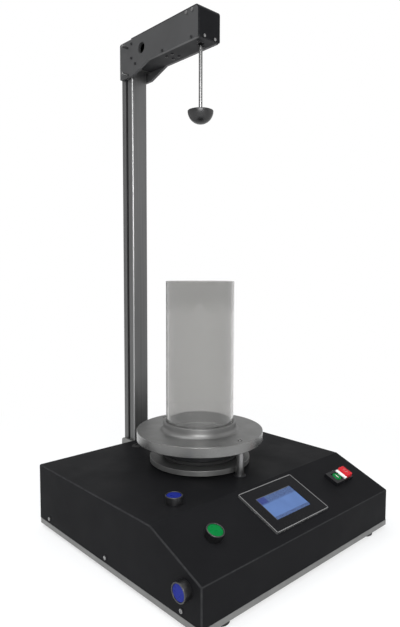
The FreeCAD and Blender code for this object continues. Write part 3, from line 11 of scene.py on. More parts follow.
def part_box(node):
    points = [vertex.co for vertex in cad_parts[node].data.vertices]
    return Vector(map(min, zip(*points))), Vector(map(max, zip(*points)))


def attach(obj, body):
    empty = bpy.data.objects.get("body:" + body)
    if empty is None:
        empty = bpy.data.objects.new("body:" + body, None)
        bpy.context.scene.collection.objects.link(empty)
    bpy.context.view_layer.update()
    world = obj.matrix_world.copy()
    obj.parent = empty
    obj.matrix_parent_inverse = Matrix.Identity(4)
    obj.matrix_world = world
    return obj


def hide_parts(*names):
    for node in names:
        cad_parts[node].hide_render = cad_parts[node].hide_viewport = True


bl_info = {
    "name": "Falling dart impact tester",
    "version": (1, 0, 0),
    "blender": (4, 5, 0),
    "location": "3D View > Sidebar > Tester",
    "description": "Builds the finished look of a falling dart impact tester on its packed frame",
    "category": "Object",
}

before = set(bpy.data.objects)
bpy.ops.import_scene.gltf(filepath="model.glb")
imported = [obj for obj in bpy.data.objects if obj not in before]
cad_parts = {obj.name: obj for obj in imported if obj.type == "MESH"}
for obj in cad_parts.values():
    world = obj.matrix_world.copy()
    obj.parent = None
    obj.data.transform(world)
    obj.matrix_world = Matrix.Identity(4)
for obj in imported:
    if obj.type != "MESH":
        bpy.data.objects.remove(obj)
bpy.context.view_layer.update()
MM = 0.001


def middle(node):
    low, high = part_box(node)
    return (low + high) / 2


def half_width(node):
    low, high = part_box(node)
    return (high.x - low.x) / 2


AXIS = middle("upper_clamp_ring")
SLOPE_RISE, SLOPE_RUN = 47.3, 117.0
SLOPE = math.atan2(SLOPE_RISE, SLOPE_RUN)


# Sizes and colours that a user would change
def size(label, text, value):
    return FloatProperty(name=label, description=text, default=value, min=0.0, precision=5,
                         subtype="DISTANCE", unit="LENGTH")


def tint(label, text, value):
    return FloatVectorProperty(name=label, description=text, default=value, size=3, min=0.0, max=1.0,
                               subtype="COLOR")


class TesterSizes(bpy.types.PropertyGroup):
    disc_edge: size("Disc edge", "Rounding of the disc's rim", 1.0 * MM)
    collar: size("Collar", "Outer radius of the collar round the guard tube", 74.0 * MM)
    collar_root: size("Collar root", "Hollow rounding at the foot of the collar", 12.0 * MM)
    collar_height: size("Collar height", "Height of the collar over the disc", 17.5 * MM)
    bore: size("Bore", "Radius of the bore through the clamp", 62.5 * MM)
    tube_wall: size("Tube wall", "Wall of the guard tube", 5.0 * MM)
    tube_seat: size("Tube seat", "Depth of the tube's seat under the disc's top", 5.0 * MM)
    post: size("Post", "Radius of a lift post", 8.0 * MM)
    bezel: size("Bezel", "Outer radius of a push button's bezel", 15.0 * MM)
    bezel_wall: size("Bezel wall", "Wall of a push button's bezel", 2.0 * MM)
    bezel_rise: size("Bezel rise", "Height of a push button over its panel", 14.0 * MM)
    button_neck: size("Button neck", "Length of a button's neck under its panel", 8.0 * MM)
    button_stem: size("Button stem", "Radius of a push button's stem", 4.0 * MM)
    button_travel: size("Button travel", "How far a push button moves", 4.0 * MM)
    segments: IntProperty(name="Segments", description="Segments round the large turned pieces",
                          default=160, min=24, max=512)


class TesterColours(bpy.types.PropertyGroup):
    powder: tint("Powder coat", "Black coat of the cover", (0.0092, 0.0092, 0.0100))
    head: tint("Head", "Dark coat of the drop head", (0.047, 0.047, 0.048))
    column: tint("Column", "Grey anodising of the column", (0.132, 0.132, 0.132))
    satin: tint("Satin metal", "Turned and satin anodised rings", (0.21, 0.21, 0.207))
    plate: tint("Plate", "Milled base plate", (0.215, 0.215, 0.21))
    chrome: tint("Chrome", "Bright rods and screws", (0.23, 0.23, 0.23))
    dart: tint("Dart", "Dark polished dart head", (0.062, 0.062, 0.063))
    acrylic: tint("Acrylic", "Smoke tint of the guard tube", (0.53, 0.525, 0.515))
    blue: tint("Blue button", "Caps of the raise and clamp buttons", (0.010, 0.018, 0.17))
    green: tint("Green button", "Caps of the release and ON buttons", (0.001, 0.145, 0.03))
    red: tint("Red button", "Cap of the OFF button", (0.52, 0.022, 0.03))
    lens: tint("Lens", "White lens of the mains lamp", (0.82, 0.82, 0.80))
    rubber: tint("Rubber", "Feet, pad and gasket", (0.018, 0.018, 0.018))
    plastic: tint("Plastic", "Moulded black pieces", (0.016, 0.016, 0.018))
    screen: tint("Screen", "Lit field of the touch screen", (0.115, 0.215, 0.50))
    board: tint("Board", "Circuit board lacquer", (0.012, 0.10, 0.05))
    paper: tint("Surroundings", "Pale floor and walls", (0.93, 0.93, 0.93))


# Materials
def add_node(tree, kind, inputs=None, **settings):
    """Add a node to a tree. An input that is given as a socket is linked, and any other is set."""
    node = tree.nodes.new(kind)
    for name, value in settings.items():
        setattr(node, name, value)
    for name, value in (inputs or {}).items():
        if isinstance(value, bpy.types.NodeSocket):
            tree.links.new(value, node.inputs[name])
        else:
            node.inputs[name].default_value = value
    return node


class Shader:
    """A Principled material that is built node by node."""

    def __init__(self, name, colour, metallic=0.0, roughness=0.5, specular=0.5):
        self.material = bpy.data.materials.new(name)
        self.material.use_nodes = True
        self.material.diffuse_color = (*colour, 1.0)
        self.tree = self.material.node_tree
        self.main = self.tree.nodes["Principled BSDF"]
        self.colour = tuple(colour)
        self.set("Base Color", (*colour, 1.0))
        self.set("Metallic", metallic)
        self.set("Roughness", roughness)
        self.set("Specular IOR Level", specular)
        self.place = self.add("ShaderNodeTexCoord").outputs["Object"]

    def set(self, socket, value):
        self.main.inputs[socket].default_value = value

    def add(self, kind, inputs=None, **settings):
        return add_node(self.tree, kind, inputs, **settings)

    def feed(self, socket, output):
        self.tree.links.new(output, self.main.inputs[socket])

    def show(self, share, other):
        """Show another shader in place of the main one, by its share."""
        mixed = self.add("ShaderNodeMixShader", {0: share, 1: self.main.outputs[0], 2: other})
        self.tree.links.new(mixed.outputs[0], self.tree.nodes["Material Output"].inputs["Surface"])

    def noise(self, scale, detail=3.0, stretch=None):
        place = self.place
        if stretch:
            place = self.add("ShaderNodeMapping", {"Vector": place, "Scale": stretch}).outputs["Vector"]
        node = self.add("ShaderNodeTexNoise", {"Vector": place, "Scale": scale, "Detail": detail})
        return node.outputs["Fac"]

    def spread(self, value, low, high, start=0.3, end=0.7):
        """Carry a texture's value onto the span from low to high."""
        node = self.add("ShaderNodeMapRange", {"Value": value, "From Min": start, "From Max": end,
                                               "To Min": low, "To Max": high})
        return node.outputs["Result"]

    def chain(self, operation, *values):
        """Carry a Math node's operation from the first value to the last."""
        result = values[0]
        for value in values[1:]:
            result = self.add("ShaderNodeMath", {0: result, 1: value}, operation=operation).outputs[0]
        return result

    def multiply(self, *values):
        return self.chain("MULTIPLY", *values)

    def largest(self, *values):
        return self.chain("MAXIMUM", *values)

    def absolute(self, value):
        return self.add("ShaderNodeMath", {0: value}, operation="ABSOLUTE").outputs[0]

    def dot(self, one, other):
        node = self.add("ShaderNodeVectorMath", {0: one, 1: other}, operation="DOT_PRODUCT")
        return node.outputs["Value"]

    def blend(self, share, one, other):
        return self.add("ShaderNodeMix", {0: share, 6: one, 7: other}, data_type="RGBA").outputs[2]

    def mottle(self, amount, scale):
        """Soft patches a little darker and lighter than the colour."""
        dark = tuple(max(0.0, part * (1 - amount)) for part in self.colour)
        light = tuple(min(1.0, part * (1 + amount)) for part in self.colour)
        share = self.spread(self.noise(scale), 0.0, 1.0)
        return self.blend(share, (*dark, 1.0), (*light, 1.0))

    def worn(self, colour, worn_colour, amount, reach):
        """Lighter broken edges, found where a rounded normal leaves the true one."""
        rounded = self.add("ShaderNodeBevel", {"Radius": reach}, samples=4).outputs["Normal"]
        true = self.add("ShaderNodeNewGeometry").outputs["Normal"]
        edge = self.spread(self.dot(rounded, true), 1.0, 0.0, 0.75, 0.995)
        patchy = self.spread(self.noise(220.0, 4.0), 0.15, 1.0, 0.38, 0.62)
        share = self.multiply(edge, patchy, amount)
        return self.blend(share, colour, (*worn_colour, 1.0))

    def folds(self, *faces):
        """Share of a bend between flat faces, whose true normal leaves those of all the faces."""
        true = self.add("ShaderNodeNewGeometry").outputs["True Normal"]
        near = self.largest(*(self.absolute(self.dot(true, face)) for face in faces))
        return self.spread(near, 1.0, 0.0, 0.93, 0.995)

    def bump(self, height, strength, depth, normal=None):
        inputs = {"Height": height, "Strength": strength, "Distance": depth}
        if normal is not None:
            inputs["Normal"] = normal
        return self.add("ShaderNodeBump", inputs).outputs["Normal"]

    def mottled(self, amount, scale):
        self.feed("Base Color", self.mottle(amount, scale))

    def rough(self, low, high, **noise):
        """Let the roughness vary from low to high over a noise."""
        self.feed("Roughness", self.spread(self.noise(**noise), low, high))

    def grain(self, strength, depth, **noise):
        """Raise a fine grain from a noise."""
        self.feed("Normal", self.bump(self.noise(**noise), strength, depth))


FINISHES = {}


def colours():
    return bpy.context.scene.tester_colours


def sizes():
    return bpy.context.scene.tester_sizes


def finish_of(maker):
    """Make each finish once, and keep it under its maker's name."""
    def cached():
        if maker.__name__ not in FINISHES:
            FINISHES[maker.__name__] = maker()
        return FINISHES[maker.__name__]
    return cached


@finish_of
def powder_coat():
    shader = Shader("black_powder_coat", colours().powder, roughness=0.52, specular=0.03)
    # Painted highlight: the bends between the cover's flat faces are painted a lighter grey, broken up by a
    # noise.
    painted_fold_highlight = shader.folds((1.0, 0.0, 0.0), (0.0, 1.0, 0.0), (0.0, 0.0, 1.0),
                         (0.0, -math.sin(SLOPE), math.cos(SLOPE)))
    patchy = shader.multiply(painted_fold_highlight, shader.spread(shader.noise(120.0, 4.0), 0.5, 1.0))
    colour = shader.blend(patchy, shader.mottle(0.10, 9.0), (0.03, 0.03, 0.031, 1.0))
    shader.feed("Base Color", shader.worn(colour, (0.10, 0.10, 0.105), 0.8, 1.2 * MM))
    shader.rough(0.44, 0.56, scale=14.0)
    orange_peel = shader.bump(shader.noise(900.0, 2.0), 0.35, 0.08 * MM)
    shader.feed("Normal", shader.bump(shader.noise(3200.0, 3.0), 0.35, 0.05 * MM, orange_peel))
    return shader.material


@finish_of
def head_coat():
    shader = Shader("dark_satin_coat", colours().head, metallic=0.25, roughness=0.42, specular=0.45)
    colour = shader.mottle(0.10, 14.0)
    shader.feed("Base Color", shader.worn(colour, (0.075, 0.075, 0.077), 0.5, 0.8 * MM))
    shader.rough(0.38, 0.50, scale=22.0)
    shader.grain(0.3, 0.04 * MM, scale=2600.0)
    return shader.material


@finish_of
def column_anodising():
    shader = Shader("grey_anodised_extrusion", colours().column, metallic=0.85, roughness=0.40)
    lines = shader.noise(700.0, 2.0, (1.0, 1.0, 0.004))
    dark, pale, painted_corner_grey = ((grey, grey, grey, 1.0) for grey in (0.115, 0.15, 0.36))
    drawn = shader.blend(shader.spread(lines, 0.0, 1.0), dark, pale)
    # Painted highlight: the rounded corners, where the true normal slants between x and y, are painted a
    # light grey.
    normal = shader.add("ShaderNodeNewGeometry").outputs["True Normal"]
    facing = shader.add("ShaderNodeSeparateXYZ", {"Vector": normal}).outputs
    slant = shader.absolute(shader.multiply(facing["X"], facing["Y"]))
    corner_highlight_share = shader.spread(slant, 0.0, 1.0, 0.05, 0.30)
    shader.feed("Base Color", shader.blend(corner_highlight_share, drawn, painted_corner_grey))
    shader.rough(0.34, 0.46, scale=60.0, stretch=(1.0, 1.0, 0.1))
    shader.feed("Normal", shader.bump(lines, 0.25, 0.03 * MM))
    return shader.material


@finish_of
def satin_rings():
    """Lathe turned metal: fine rings about the clamp's axis, bead blasted, with a smoother rim."""
    shader = Shader("satin_turned_aluminium", colours().satin, metallic=0.92, roughness=0.46)
    flat = shader.add("ShaderNodeMapping", {"Vector": shader.place, "Location": (-AXIS.x, -AXIS.y, 0.0)})
    reach = shader.add("ShaderNodeVectorMath", {0: flat.outputs["Vector"], 1: (1.0, 1.0, 0.0)},
                       operation="MULTIPLY").outputs["Vector"]
    radius = shader.add("ShaderNodeVectorMath", {0: reach}, operation="LENGTH").outputs["Value"]
    rings = shader.add("ShaderNodeTexNoise", {"W": radius, "Scale": 2600.0, "Detail": 2.0},
                       noise_dimensions="1D").outputs["Fac"]
    around = shader.add("ShaderNodeVectorMath", {0: (0.0, 0.0, 1.0), 1: reach}, operation="CROSS_PRODUCT")
    shader.feed("Tangent", around.outputs["Vector"])
    shader.set("Anisotropic", 0.3)
    shader.set("Anisotropic Rotation", 0.25)
    shader.mottled(0.05, scale=22.0)
    rim_start = half_width("upper_clamp_ring") - 1.2 * MM
    rim = shader.spread(radius, 0.0, 1.0, rim_start, rim_start + 0.4 * MM)
    matt = shader.spread(shader.noise(35.0), 0.41, 0.52)
    smooth = shader.add("ShaderNodeMapRange", {"Value": rim, "To Min": matt, "To Max": 0.26})
    shader.feed("Roughness", smooth.outputs["Result"])
    blasted = shader.bump(shader.noise(2200.0, 3.0), 0.25, 0.03 * MM)
    shader.feed("Normal", shader.bump(rings, 0.25, 0.01 * MM, blasted))
    return shader.material


@finish_of
def milled_plate():
    shader = Shader("milled_aluminium_plate", colours().plate, metallic=0.9, roughness=0.42)
    passes = shader.noise(420.0, 2.0, (0.02, 0.02, 1.0))
    shader.mottled(0.07, scale=25.0)
    shader.rough(0.36, 0.50, scale=40.0)
    shader.feed("Normal", shader.bump(passes, 0.3, 0.03 * MM))
    return shader.material


@finish_of
def bright_chrome():
    shader = Shader("bright_chrome", colours().chrome, metallic=1.0, roughness=0.25)
    shader.rough(0.21, 0.29, scale=120.0, detail=4.0)
    shader.mottled(0.04, scale=40.0)
    return shader.material


@finish_of
def black_chrome():
    shader = Shader("black_chrome", (0.085, 0.085, 0.088), metallic=0.95, roughness=0.34)
    shader.rough(0.28, 0.38, scale=120.0, detail=4.0)
    shader.mottled(0.06, scale=50.0)
    return shader.material


@finish_of
def satin_steel():
    shader = Shader("satin_steel", (0.30, 0.30, 0.30), metallic=1.0, roughness=0.24)
    shader.mottled(0.06, scale=60.0)
    shader.rough(0.28, 0.36, scale=90.0, detail=4.0)
    return shader.material


@finish_of
def dark_polish():
    shader = Shader("dark_polished_steel", colours().dart, metallic=1.0, roughness=0.36)
    shader.mottled(0.08, scale=60.0)
    shader.rough(0.33, 0.40, scale=160.0, detail=4.0)
    return shader.material


@finish_of
def smoked_acrylic():
    shader = Shader("smoked_acrylic", colours().acrylic, roughness=0.03)
    shader.set("IOR", 1.49)
    shader.set("Transmission Weight", 0.93)
    shader.set("Specular IOR Level", 0.15)
    drawn = shader.spread(shader.noise(9.0, 4.0, (1.0, 1.0, 0.06)), 0.0, 1.0)
    dark, pale = ((*(part * share for part in colours().acrylic), 1.0) for share in (0.955, 1.03))
    shader.feed("Base Color", shader.blend(drawn, dark, pale))
    shader.rough(0.015, 0.05, scale=18.0, detail=4.0)
    shader.grain(0.15, 0.2 * MM, scale=6.0, detail=2.0, stretch=(1.0, 1.0, 0.35))
    shadow = shader.add("ShaderNodeLightPath").outputs["Is Shadow Ray"]
    clear = shader.add("ShaderNodeBsdfTransparent", {"Color": (0.86, 0.86, 0.855, 1.0)}).outputs[0]
    shader.show(shadow, clear)
    return shader.material


# Painted shade: a darker copy of the head's coat, for the head's underside.
@finish_of
def underside_shade_coat():
    shader = Shader("head_underside_painted_shade", (0.02, 0.02, 0.021), roughness=0.55, specular=0.06)
    shader.feed("Base Color", shader.worn(shader.mottle(0.12, 14.0), (0.09, 0.09, 0.09), 0.5, 0.6 * MM))
    shader.rough(0.44, 0.56, scale=22.0)
    shader.grain(0.3, 0.04 * MM, scale=2600.0)
    return shader.material


@finish_of
def bright_frame():
    shader = Shader("bright_panel_frame", (0.42, 0.42, 0.42), metallic=0.9, roughness=0.3)
    shader.mottled(0.06, scale=60.0)
    shader.rough(0.26, 0.38, scale=90.0)
    return shader.material


@finish_of
def glossy_housing():
    shader = Shader("glossy_black_housing", (0.008, 0.008, 0.009), roughness=0.16, specular=0.35)
    shader.mottled(0.1, scale=60.0)
    shader.rough(0.12, 0.22, scale=90.0)
    return shader.material


@finish_of
def black_rubber():
    shader = Shader("black_rubber", colours().rubber, roughness=0.72, specular=0.3)
    shader.mottled(0.2, scale=30.0)
    shader.rough(0.62, 0.82, scale=45.0)
    shader.grain(0.3, 0.05 * MM, scale=1500.0)
    return shader.material


@finish_of
def black_plastic():
    shader = Shader("moulded_black_plastic", colours().plastic, roughness=0.42, specular=0.25)
    shader.mottled(0.12, scale=40.0)
    shader.rough(0.32, 0.46, scale=60.0)
    shader.grain(0.15, 0.03 * MM, scale=1800.0, detail=2.0)
    return shader.material


@finish_of
def panel_film():
    shader = Shader("glossy_panel_film", (0.006, 0.006, 0.007), roughness=0.22, specular=0.12)
    shader.rough(0.16, 0.28, scale=25.0, detail=4.0)
    shader.grain(0.04, 0.05 * MM, scale=90.0, detail=2.0)
    return shader.material


@finish_of
def black_oxide():
    shader = Shader("black_oxide_steel", (0.03, 0.03, 0.032), metallic=0.7, roughness=0.35)
    shader.feed("Base Color", shader.worn(shader.mottle(0.2, 200.0), (0.25, 0.25, 0.25), 0.6, 0.4 * MM))
    shader.rough(0.28, 0.46, scale=300.0)
    return shader.material


@finish_of
def zinc_plate():
    shader = Shader("zinc_plated_steel", (0.46, 0.47, 0.48), metallic=1.0, roughness=0.34)
    shader.mottled(0.12, scale=50.0)
    shader.rough(0.26, 0.44, scale=80.0, detail=4.0)
    shader.grain(0.15, 0.03 * MM, scale=900.0)
    return shader.material


@finish_of
def board_lacquer():
    shader = Shader("board_lacquer", colours().board, roughness=0.35)
    tracks = shader.add("ShaderNodeTexBrick", {"Vector": shader.place, "Scale": 60.0, "Mortar Size": 0.03,
                                               "Color1": (*colours().board, 1.0),
                                               "Color2": (0.016, 0.13, 0.065, 1.0),
                                               "Mortar": (0.03, 0.2, 0.1, 1.0)})
    shader.feed("Base Color", tracks.outputs["Color"])
    shader.rough(0.28, 0.42, scale=50.0)
    return shader.material


def moulded_cap(name, colour):
    shader = Shader(name, colour, roughness=0.3, specular=0.06)
    shader.mottled(0.08, scale=90.0)
    shader.rough(0.24, 0.38, scale=150.0)
    shader.grain(0.08, 0.03 * MM, scale=1200.0, detail=2.0)
    return shader.material


@finish_of
def blue_cap():
    return moulded_cap("blue_moulded_cap", colours().blue)


@finish_of
def green_cap():
    return moulded_cap("green_moulded_cap", colours().green)


@finish_of
def red_cap():
    return moulded_cap("red_moulded_cap", colours().red)


@finish_of
def white_lens():
    return moulded_cap("white_lens", colours().lens)


@finish_of
def symbol_ink():
    return moulded_cap("symbol_ink", (0.72, 0.62, 0.62))


@finish_of
def black_anodising():
    shader = Shader("black_anodised_aluminium", (0.022, 0.022, 0.024), metallic=0.4, roughness=0.36)
    shader.feed("Base Color", shader.worn(shader.mottle(0.12, 30.0), (0.10, 0.10, 0.10), 0.5, 0.5 * MM))
    shader.rough(0.3, 0.44, scale=60.0)
    shader.grain(0.2, 0.02 * MM, scale=2400.0, detail=2.0)
    return shader.material


@finish_of
def lit_screen():
    """Touch screen: a lit field, with mottled rows of marks above and below it."""
    shader = Shader("touch_screen_glass", (0.01, 0.011, 0.013), roughness=0.10, specular=0.2)
    border, upright = 1.3 * MM, 2 * MM
    wide = half_width("panel_screen") - border
    tall = 26.75 * MM
    level = {"Vector": shader.place, "Location": middle("panel_frame"), "Rotation": (SLOPE, 0.0, 0.0)}
    flat = shader.add("ShaderNodeMapping", level, vector_type="TEXTURE").outputs["Vector"]
    parts = shader.add("ShaderNodeSeparateXYZ", {"Vector": flat}).outputs
    up = shader.spread(parts["Y"], 0.0, 1.0, -tall, tall)
    along = shader.spread(parts["X"], 0.0, 1.0, -wide - upright, wide - upright)
    lit, dim, deep = (*colours().screen, 1.0), (0.075, 0.13, 0.30, 1.0), (0.015, 0.022, 0.22, 1.0)
    dark, edging = (0.028, 0.045, 0.13, 1.0), (0.10, 0.11, 0.12, 1.0)
    top = shader.spread(up, 0.0, 1.0, 0.66, 0.74)
    foot = shader.spread(up, 1.0, 0.0, 0.115, 0.135)
    bands = shader.largest(top, foot)
    cells = shader.add("ShaderNodeTexVoronoi", {"Vector": flat, "Scale": 620.0}).outputs["Distance"]
    marks = shader.multiply(bands, shader.spread(cells, 1.0, 0.0, 0.25, 0.5))
    rows = shader.blend(shader.multiply(bands, 0.8), lit, dim)
    marked = shader.blend(marks, rows, dark)
    corner = shader.multiply(shader.spread(along, 1.0, 0.0, 0.20, 0.24), top)
    patch = shader.blend(shader.multiply(corner, 0.7), marked, deep)
    outside = shader.largest(shader.spread(up, 0.0, 1.0, 0.965, 0.975),
                             shader.spread(along, 1.0, 0.0, 0.012, 0.02))
    shader.feed("Emission Color", shader.blend(outside, patch, edging))
    shader.feed("Emission Strength", shader.multiply(shader.spread(shader.noise(40.0), 0.94, 1.04), 0.92))
    shader.rough(0.07, 0.15, scale=20.0, detail=4.0)
    return shader.material


# Meshes
def rounded(corners, steps=4):
    """Closed outline in millimetres, each corner (across, up, rounding) drawn as a short arc."""
    points = []
    for index, (across, up, rounding) in enumerate(corners):
        here = Vector((across, up))
        before = Vector(corners[index - 1][:2]) - here
        after = Vector(corners[(index + 1) % len(corners)][:2]) - here
        if rounding <= 0:
            points.append(here)
            continue
        half = before.angle(after) / 2
        back = min(rounding / math.tan(half), 0.49 * before.length, 0.49 * after.length)
        bisector = (before.normalized() + after.normalized()).normalized()
        centre = here + bisector * back / math.cos(half)
        start = here + before.normalized() * back - centre
        end = here + after.normalized() * back - centre
        swing = start.angle_signed(end)
        for step in range(steps + 1):
            angle = -swing * step / steps
            spin = Matrix(((math.cos(angle), -math.sin(angle)), (math.sin(angle), math.cos(angle))))
            points.append(centre + spin @ start)
    return points


def ring_faces(bm, one, other):
    """Close the band between two rings of vertices. A ring of one vertex is a tip."""
    count = max(len(one), len(other))
    for step in range(count):
        ahead = (step + 1) % count
        around = (one[step % len(one)], one[ahead % len(one)],
                  other[ahead % len(other)], other[step % len(other)])
        bm.faces.new(list(dict.fromkeys(around)))


def turn(bm, outline, matrix=None, segments=96):
    """Add a body of revolution about the matrix's z axis to the mesh. The outline is in millimetres."""
    matrix = matrix or Matrix.Translation((AXIS.x, AXIS.y, 0.0))
    rings = []
    for across, up in outline:
        reach = max(0.0, across) * MM
        count = 1 if reach < 1e-7 else segments
        angles = [2 * math.pi * step / segments for step in range(count)]
        places = [Vector((reach * math.cos(angle), reach * math.sin(angle), up * MM)) for angle in angles]
        rings.append([bm.verts.new(matrix @ place) for place in places])
    for one, other in zip(rings, rings[1:] + rings[:1]):
        if len(one) > 1 or len(other) > 1:
            ring_faces(bm, one, other)


def prism(bm, outline, low, high, matrix, edge=0.0):
    """Add an upright slab to the mesh, with its upper edges rounded. All lengths are in millimetres."""
    steps = 3 if edge else 0
    layers = [(low, 0.0)]
    for step in range(steps + 1):
        angle = math.pi / 2 * step / max(1, steps)
        layers.append((high - edge + edge * math.sin(angle), edge - edge * math.cos(angle)))
    centre = sum(outline, Vector((0.0, 0.0))) / len(outline)
    wide = max(abs(point.x - centre.x) for point in outline)
    tall = max(abs(point.y - centre.y) for point in outline)
    rings = []
    for up, inset in layers:
        ring = []
        for point in outline:
            across = centre.x + (point.x - centre.x) * (wide - inset) / wide
            along = centre.y + (point.y - centre.y) * (tall - inset) / tall
            ring.append(bm.verts.new(matrix @ Vector((across * MM, along * MM, up * MM))))
        rings.append(ring)
    for one, other in zip(rings, rings[1:]):
        ring_faces(bm, one, other)
    bm.faces.new(rings[0][::-1])
    bm.faces.new(rings[-1])


def rectangle(left, right, low, high, rounding=0.0):
    corners = [(left, low, rounding), (right, low, rounding), (right, high, rounding), (left, high, rounding)]
    return rounded(corners, steps=5)


def cap_screw(bm, matrix, radius, height, socket, edge=0.3):
    """Add a screw's head with a hexagon socket: the head stands on the matrix's z = 0."""
    segments = 32
    flat = math.pi / 6
    floor = height * 0.45
    corner = socket * 1.155
    rings = []
    for reach, up, six_sided in (
        (radius, 0.0, False), (radius, height - edge, False),
        (radius - edge * 0.3, height - edge * 0.3, False), (radius - edge, height, False),
        (socket * 1.22, height, False), (corner, height - 0.1 * edge, True), (corner, floor, True),
    ):
        ring = []
        for step in range(segments):
            angle = 2 * math.pi * step / segments
            here = reach
            if six_sided:
                here = reach * math.cos(flat) / math.cos((angle + flat) % (2 * flat) - flat)
            place = Vector((here * math.cos(angle) * MM, here * math.sin(angle) * MM, up * MM))
            ring.append(bm.verts.new(matrix @ place))
        rings.append(ring)
    for one, other in zip(rings, rings[1:]):
        ring_faces(bm, one, other)
    bm.faces.new(rings[0][::-1])
    bm.faces.new(rings[-1])


def make(name, bm, finish, body, slot, replaces=()):
    """Turn the mesh into a piece that rides on a body of the model."""
    sharp = math.radians(38.0)
    bmesh.ops.recalc_face_normals(bm, faces=bm.faces)
    for face in bm.faces:
        face.smooth = True
    for edge in bm.edges:
        edge.smooth = len(edge.link_faces) == 2 and edge.calc_face_angle(math.pi) < sharp
    mesh = bpy.data.meshes.new(name)
    bm.to_mesh(mesh)
    bm.free()
    mesh.materials.append(finish())
    piece = bpy.data.objects.new(name, mesh)
    bpy.context.scene.collection.objects.link(piece)
    even = piece.modifiers.new("even_normals", "WEIGHTED_NORMAL")
    even.keep_sharp = True
    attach(piece, body)
    if replaces:
        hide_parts(*replaces)


def make_turned(outline, name, *riding, place=None, segments=96):
    """Make one turned body a piece of its own, with the finish, body, slot and nodes that make() takes; the
    slot is not used.
    """
    bm = bmesh.new()
    turn(bm, outline, place, segments)
    make(name, bm, *riding)


def make_slab(outline, low, high, edge, place, name, *riding):
    """Make one slab a piece of its own, with the finish, body, slot and nodes that make() takes; the slot is
    not used.
    """
    bm = bmesh.new()
    prism(bm, outline, low, high, place, edge)
    make(name, bm, *riding)


def dress(finish, slot, *nodes):
    """Give CAD nodes their finish."""
    for name in nodes:
        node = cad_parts[name]
        node.data.materials.clear()
        node.data.materials.append(finish())


def raised(distance):
    """Shift along a frame's own z axis, in millimetres."""
    return Matrix.Translation((0, 0, distance * MM))


def seat_on_slope(node, drop):
    """Frame on the sloping panel, the drop under the middle of a node that is measured along the slope."""
    tilt = Matrix.Rotation(SLOPE, 4, "X")
    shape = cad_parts[node]
    level = tilt.inverted() @ shape.matrix_world
    places = [level @ vertex.co for vertex in shape.data.vertices]
    centre = [(min(along) + max(along)) / 2 for along in zip(*places)]
    return tilt @ Matrix.Translation(centre) @ raised(-drop)


def heights(node):
    low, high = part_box(node)
    return low.z / MM, high.z / MM


# Pieces
def small_screws(name, spots, body, finish, slot, replaces=()):
    """One piece with a socket screw at each spot: its place, the way it faces, its radius and its height."""
    quarter = math.pi / 2
    turns = {"left": (-quarter, "Y"), "right": (quarter, "Y"),
             "front": (quarter, "X"), "under": (2 * quarter, "X")}
    bm = bmesh.new()
    for place, way, radius, height in spots:
        angle, axis = turns[way]
        seat = Matrix.Translation(place) @ Matrix.Rotation(angle, 4, axis)
        cap_screw(bm, seat, radius, height, radius * 0.5, 0.35)
    make(name, bm, finish, body, slot, replaces)


class TESTER_OT_enclosure(bpy.types.Operator):
    """Give the base plate, the folded cover and their fittings their finishes"""
    bl_idname = "tester.enclosure"
    bl_label = "Enclosure"

    def execute(self, context):
        dress(powder_coat, "black_powder_coat", "base_cover", "rear_panel")
        dress(milled_plate, "base_aluminium", "base_plate")
        dress(black_rubber, "black_rubber", "rubber_feet", "cable_grommet", "dart_pad")
        dress(zinc_plate, "zinc_steel", "foot_screws", "cover_rails", "air_inlet")
        dress(black_plastic, "black_plastic", "power_inlet")
        low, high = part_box("cover_screws")
        cover_low, cover_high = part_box("base_cover")
        radius, thick = 3.6, 2.0
        height = (low.z + high.z) / 2
        ends = (low.y + radius * MM, (low.y + high.y) / 2, high.y - radius * MM)
        spots = [(Vector((x, y, height)), way, radius, thick)
                 for x, way in ((cover_low.x, "left"), (cover_high.x, "right")) for y in ends]
        small_screws("side_screws", spots, "frame", satin_steel, "black_screws", ["cover_screws"])
        return {"FINISHED"}


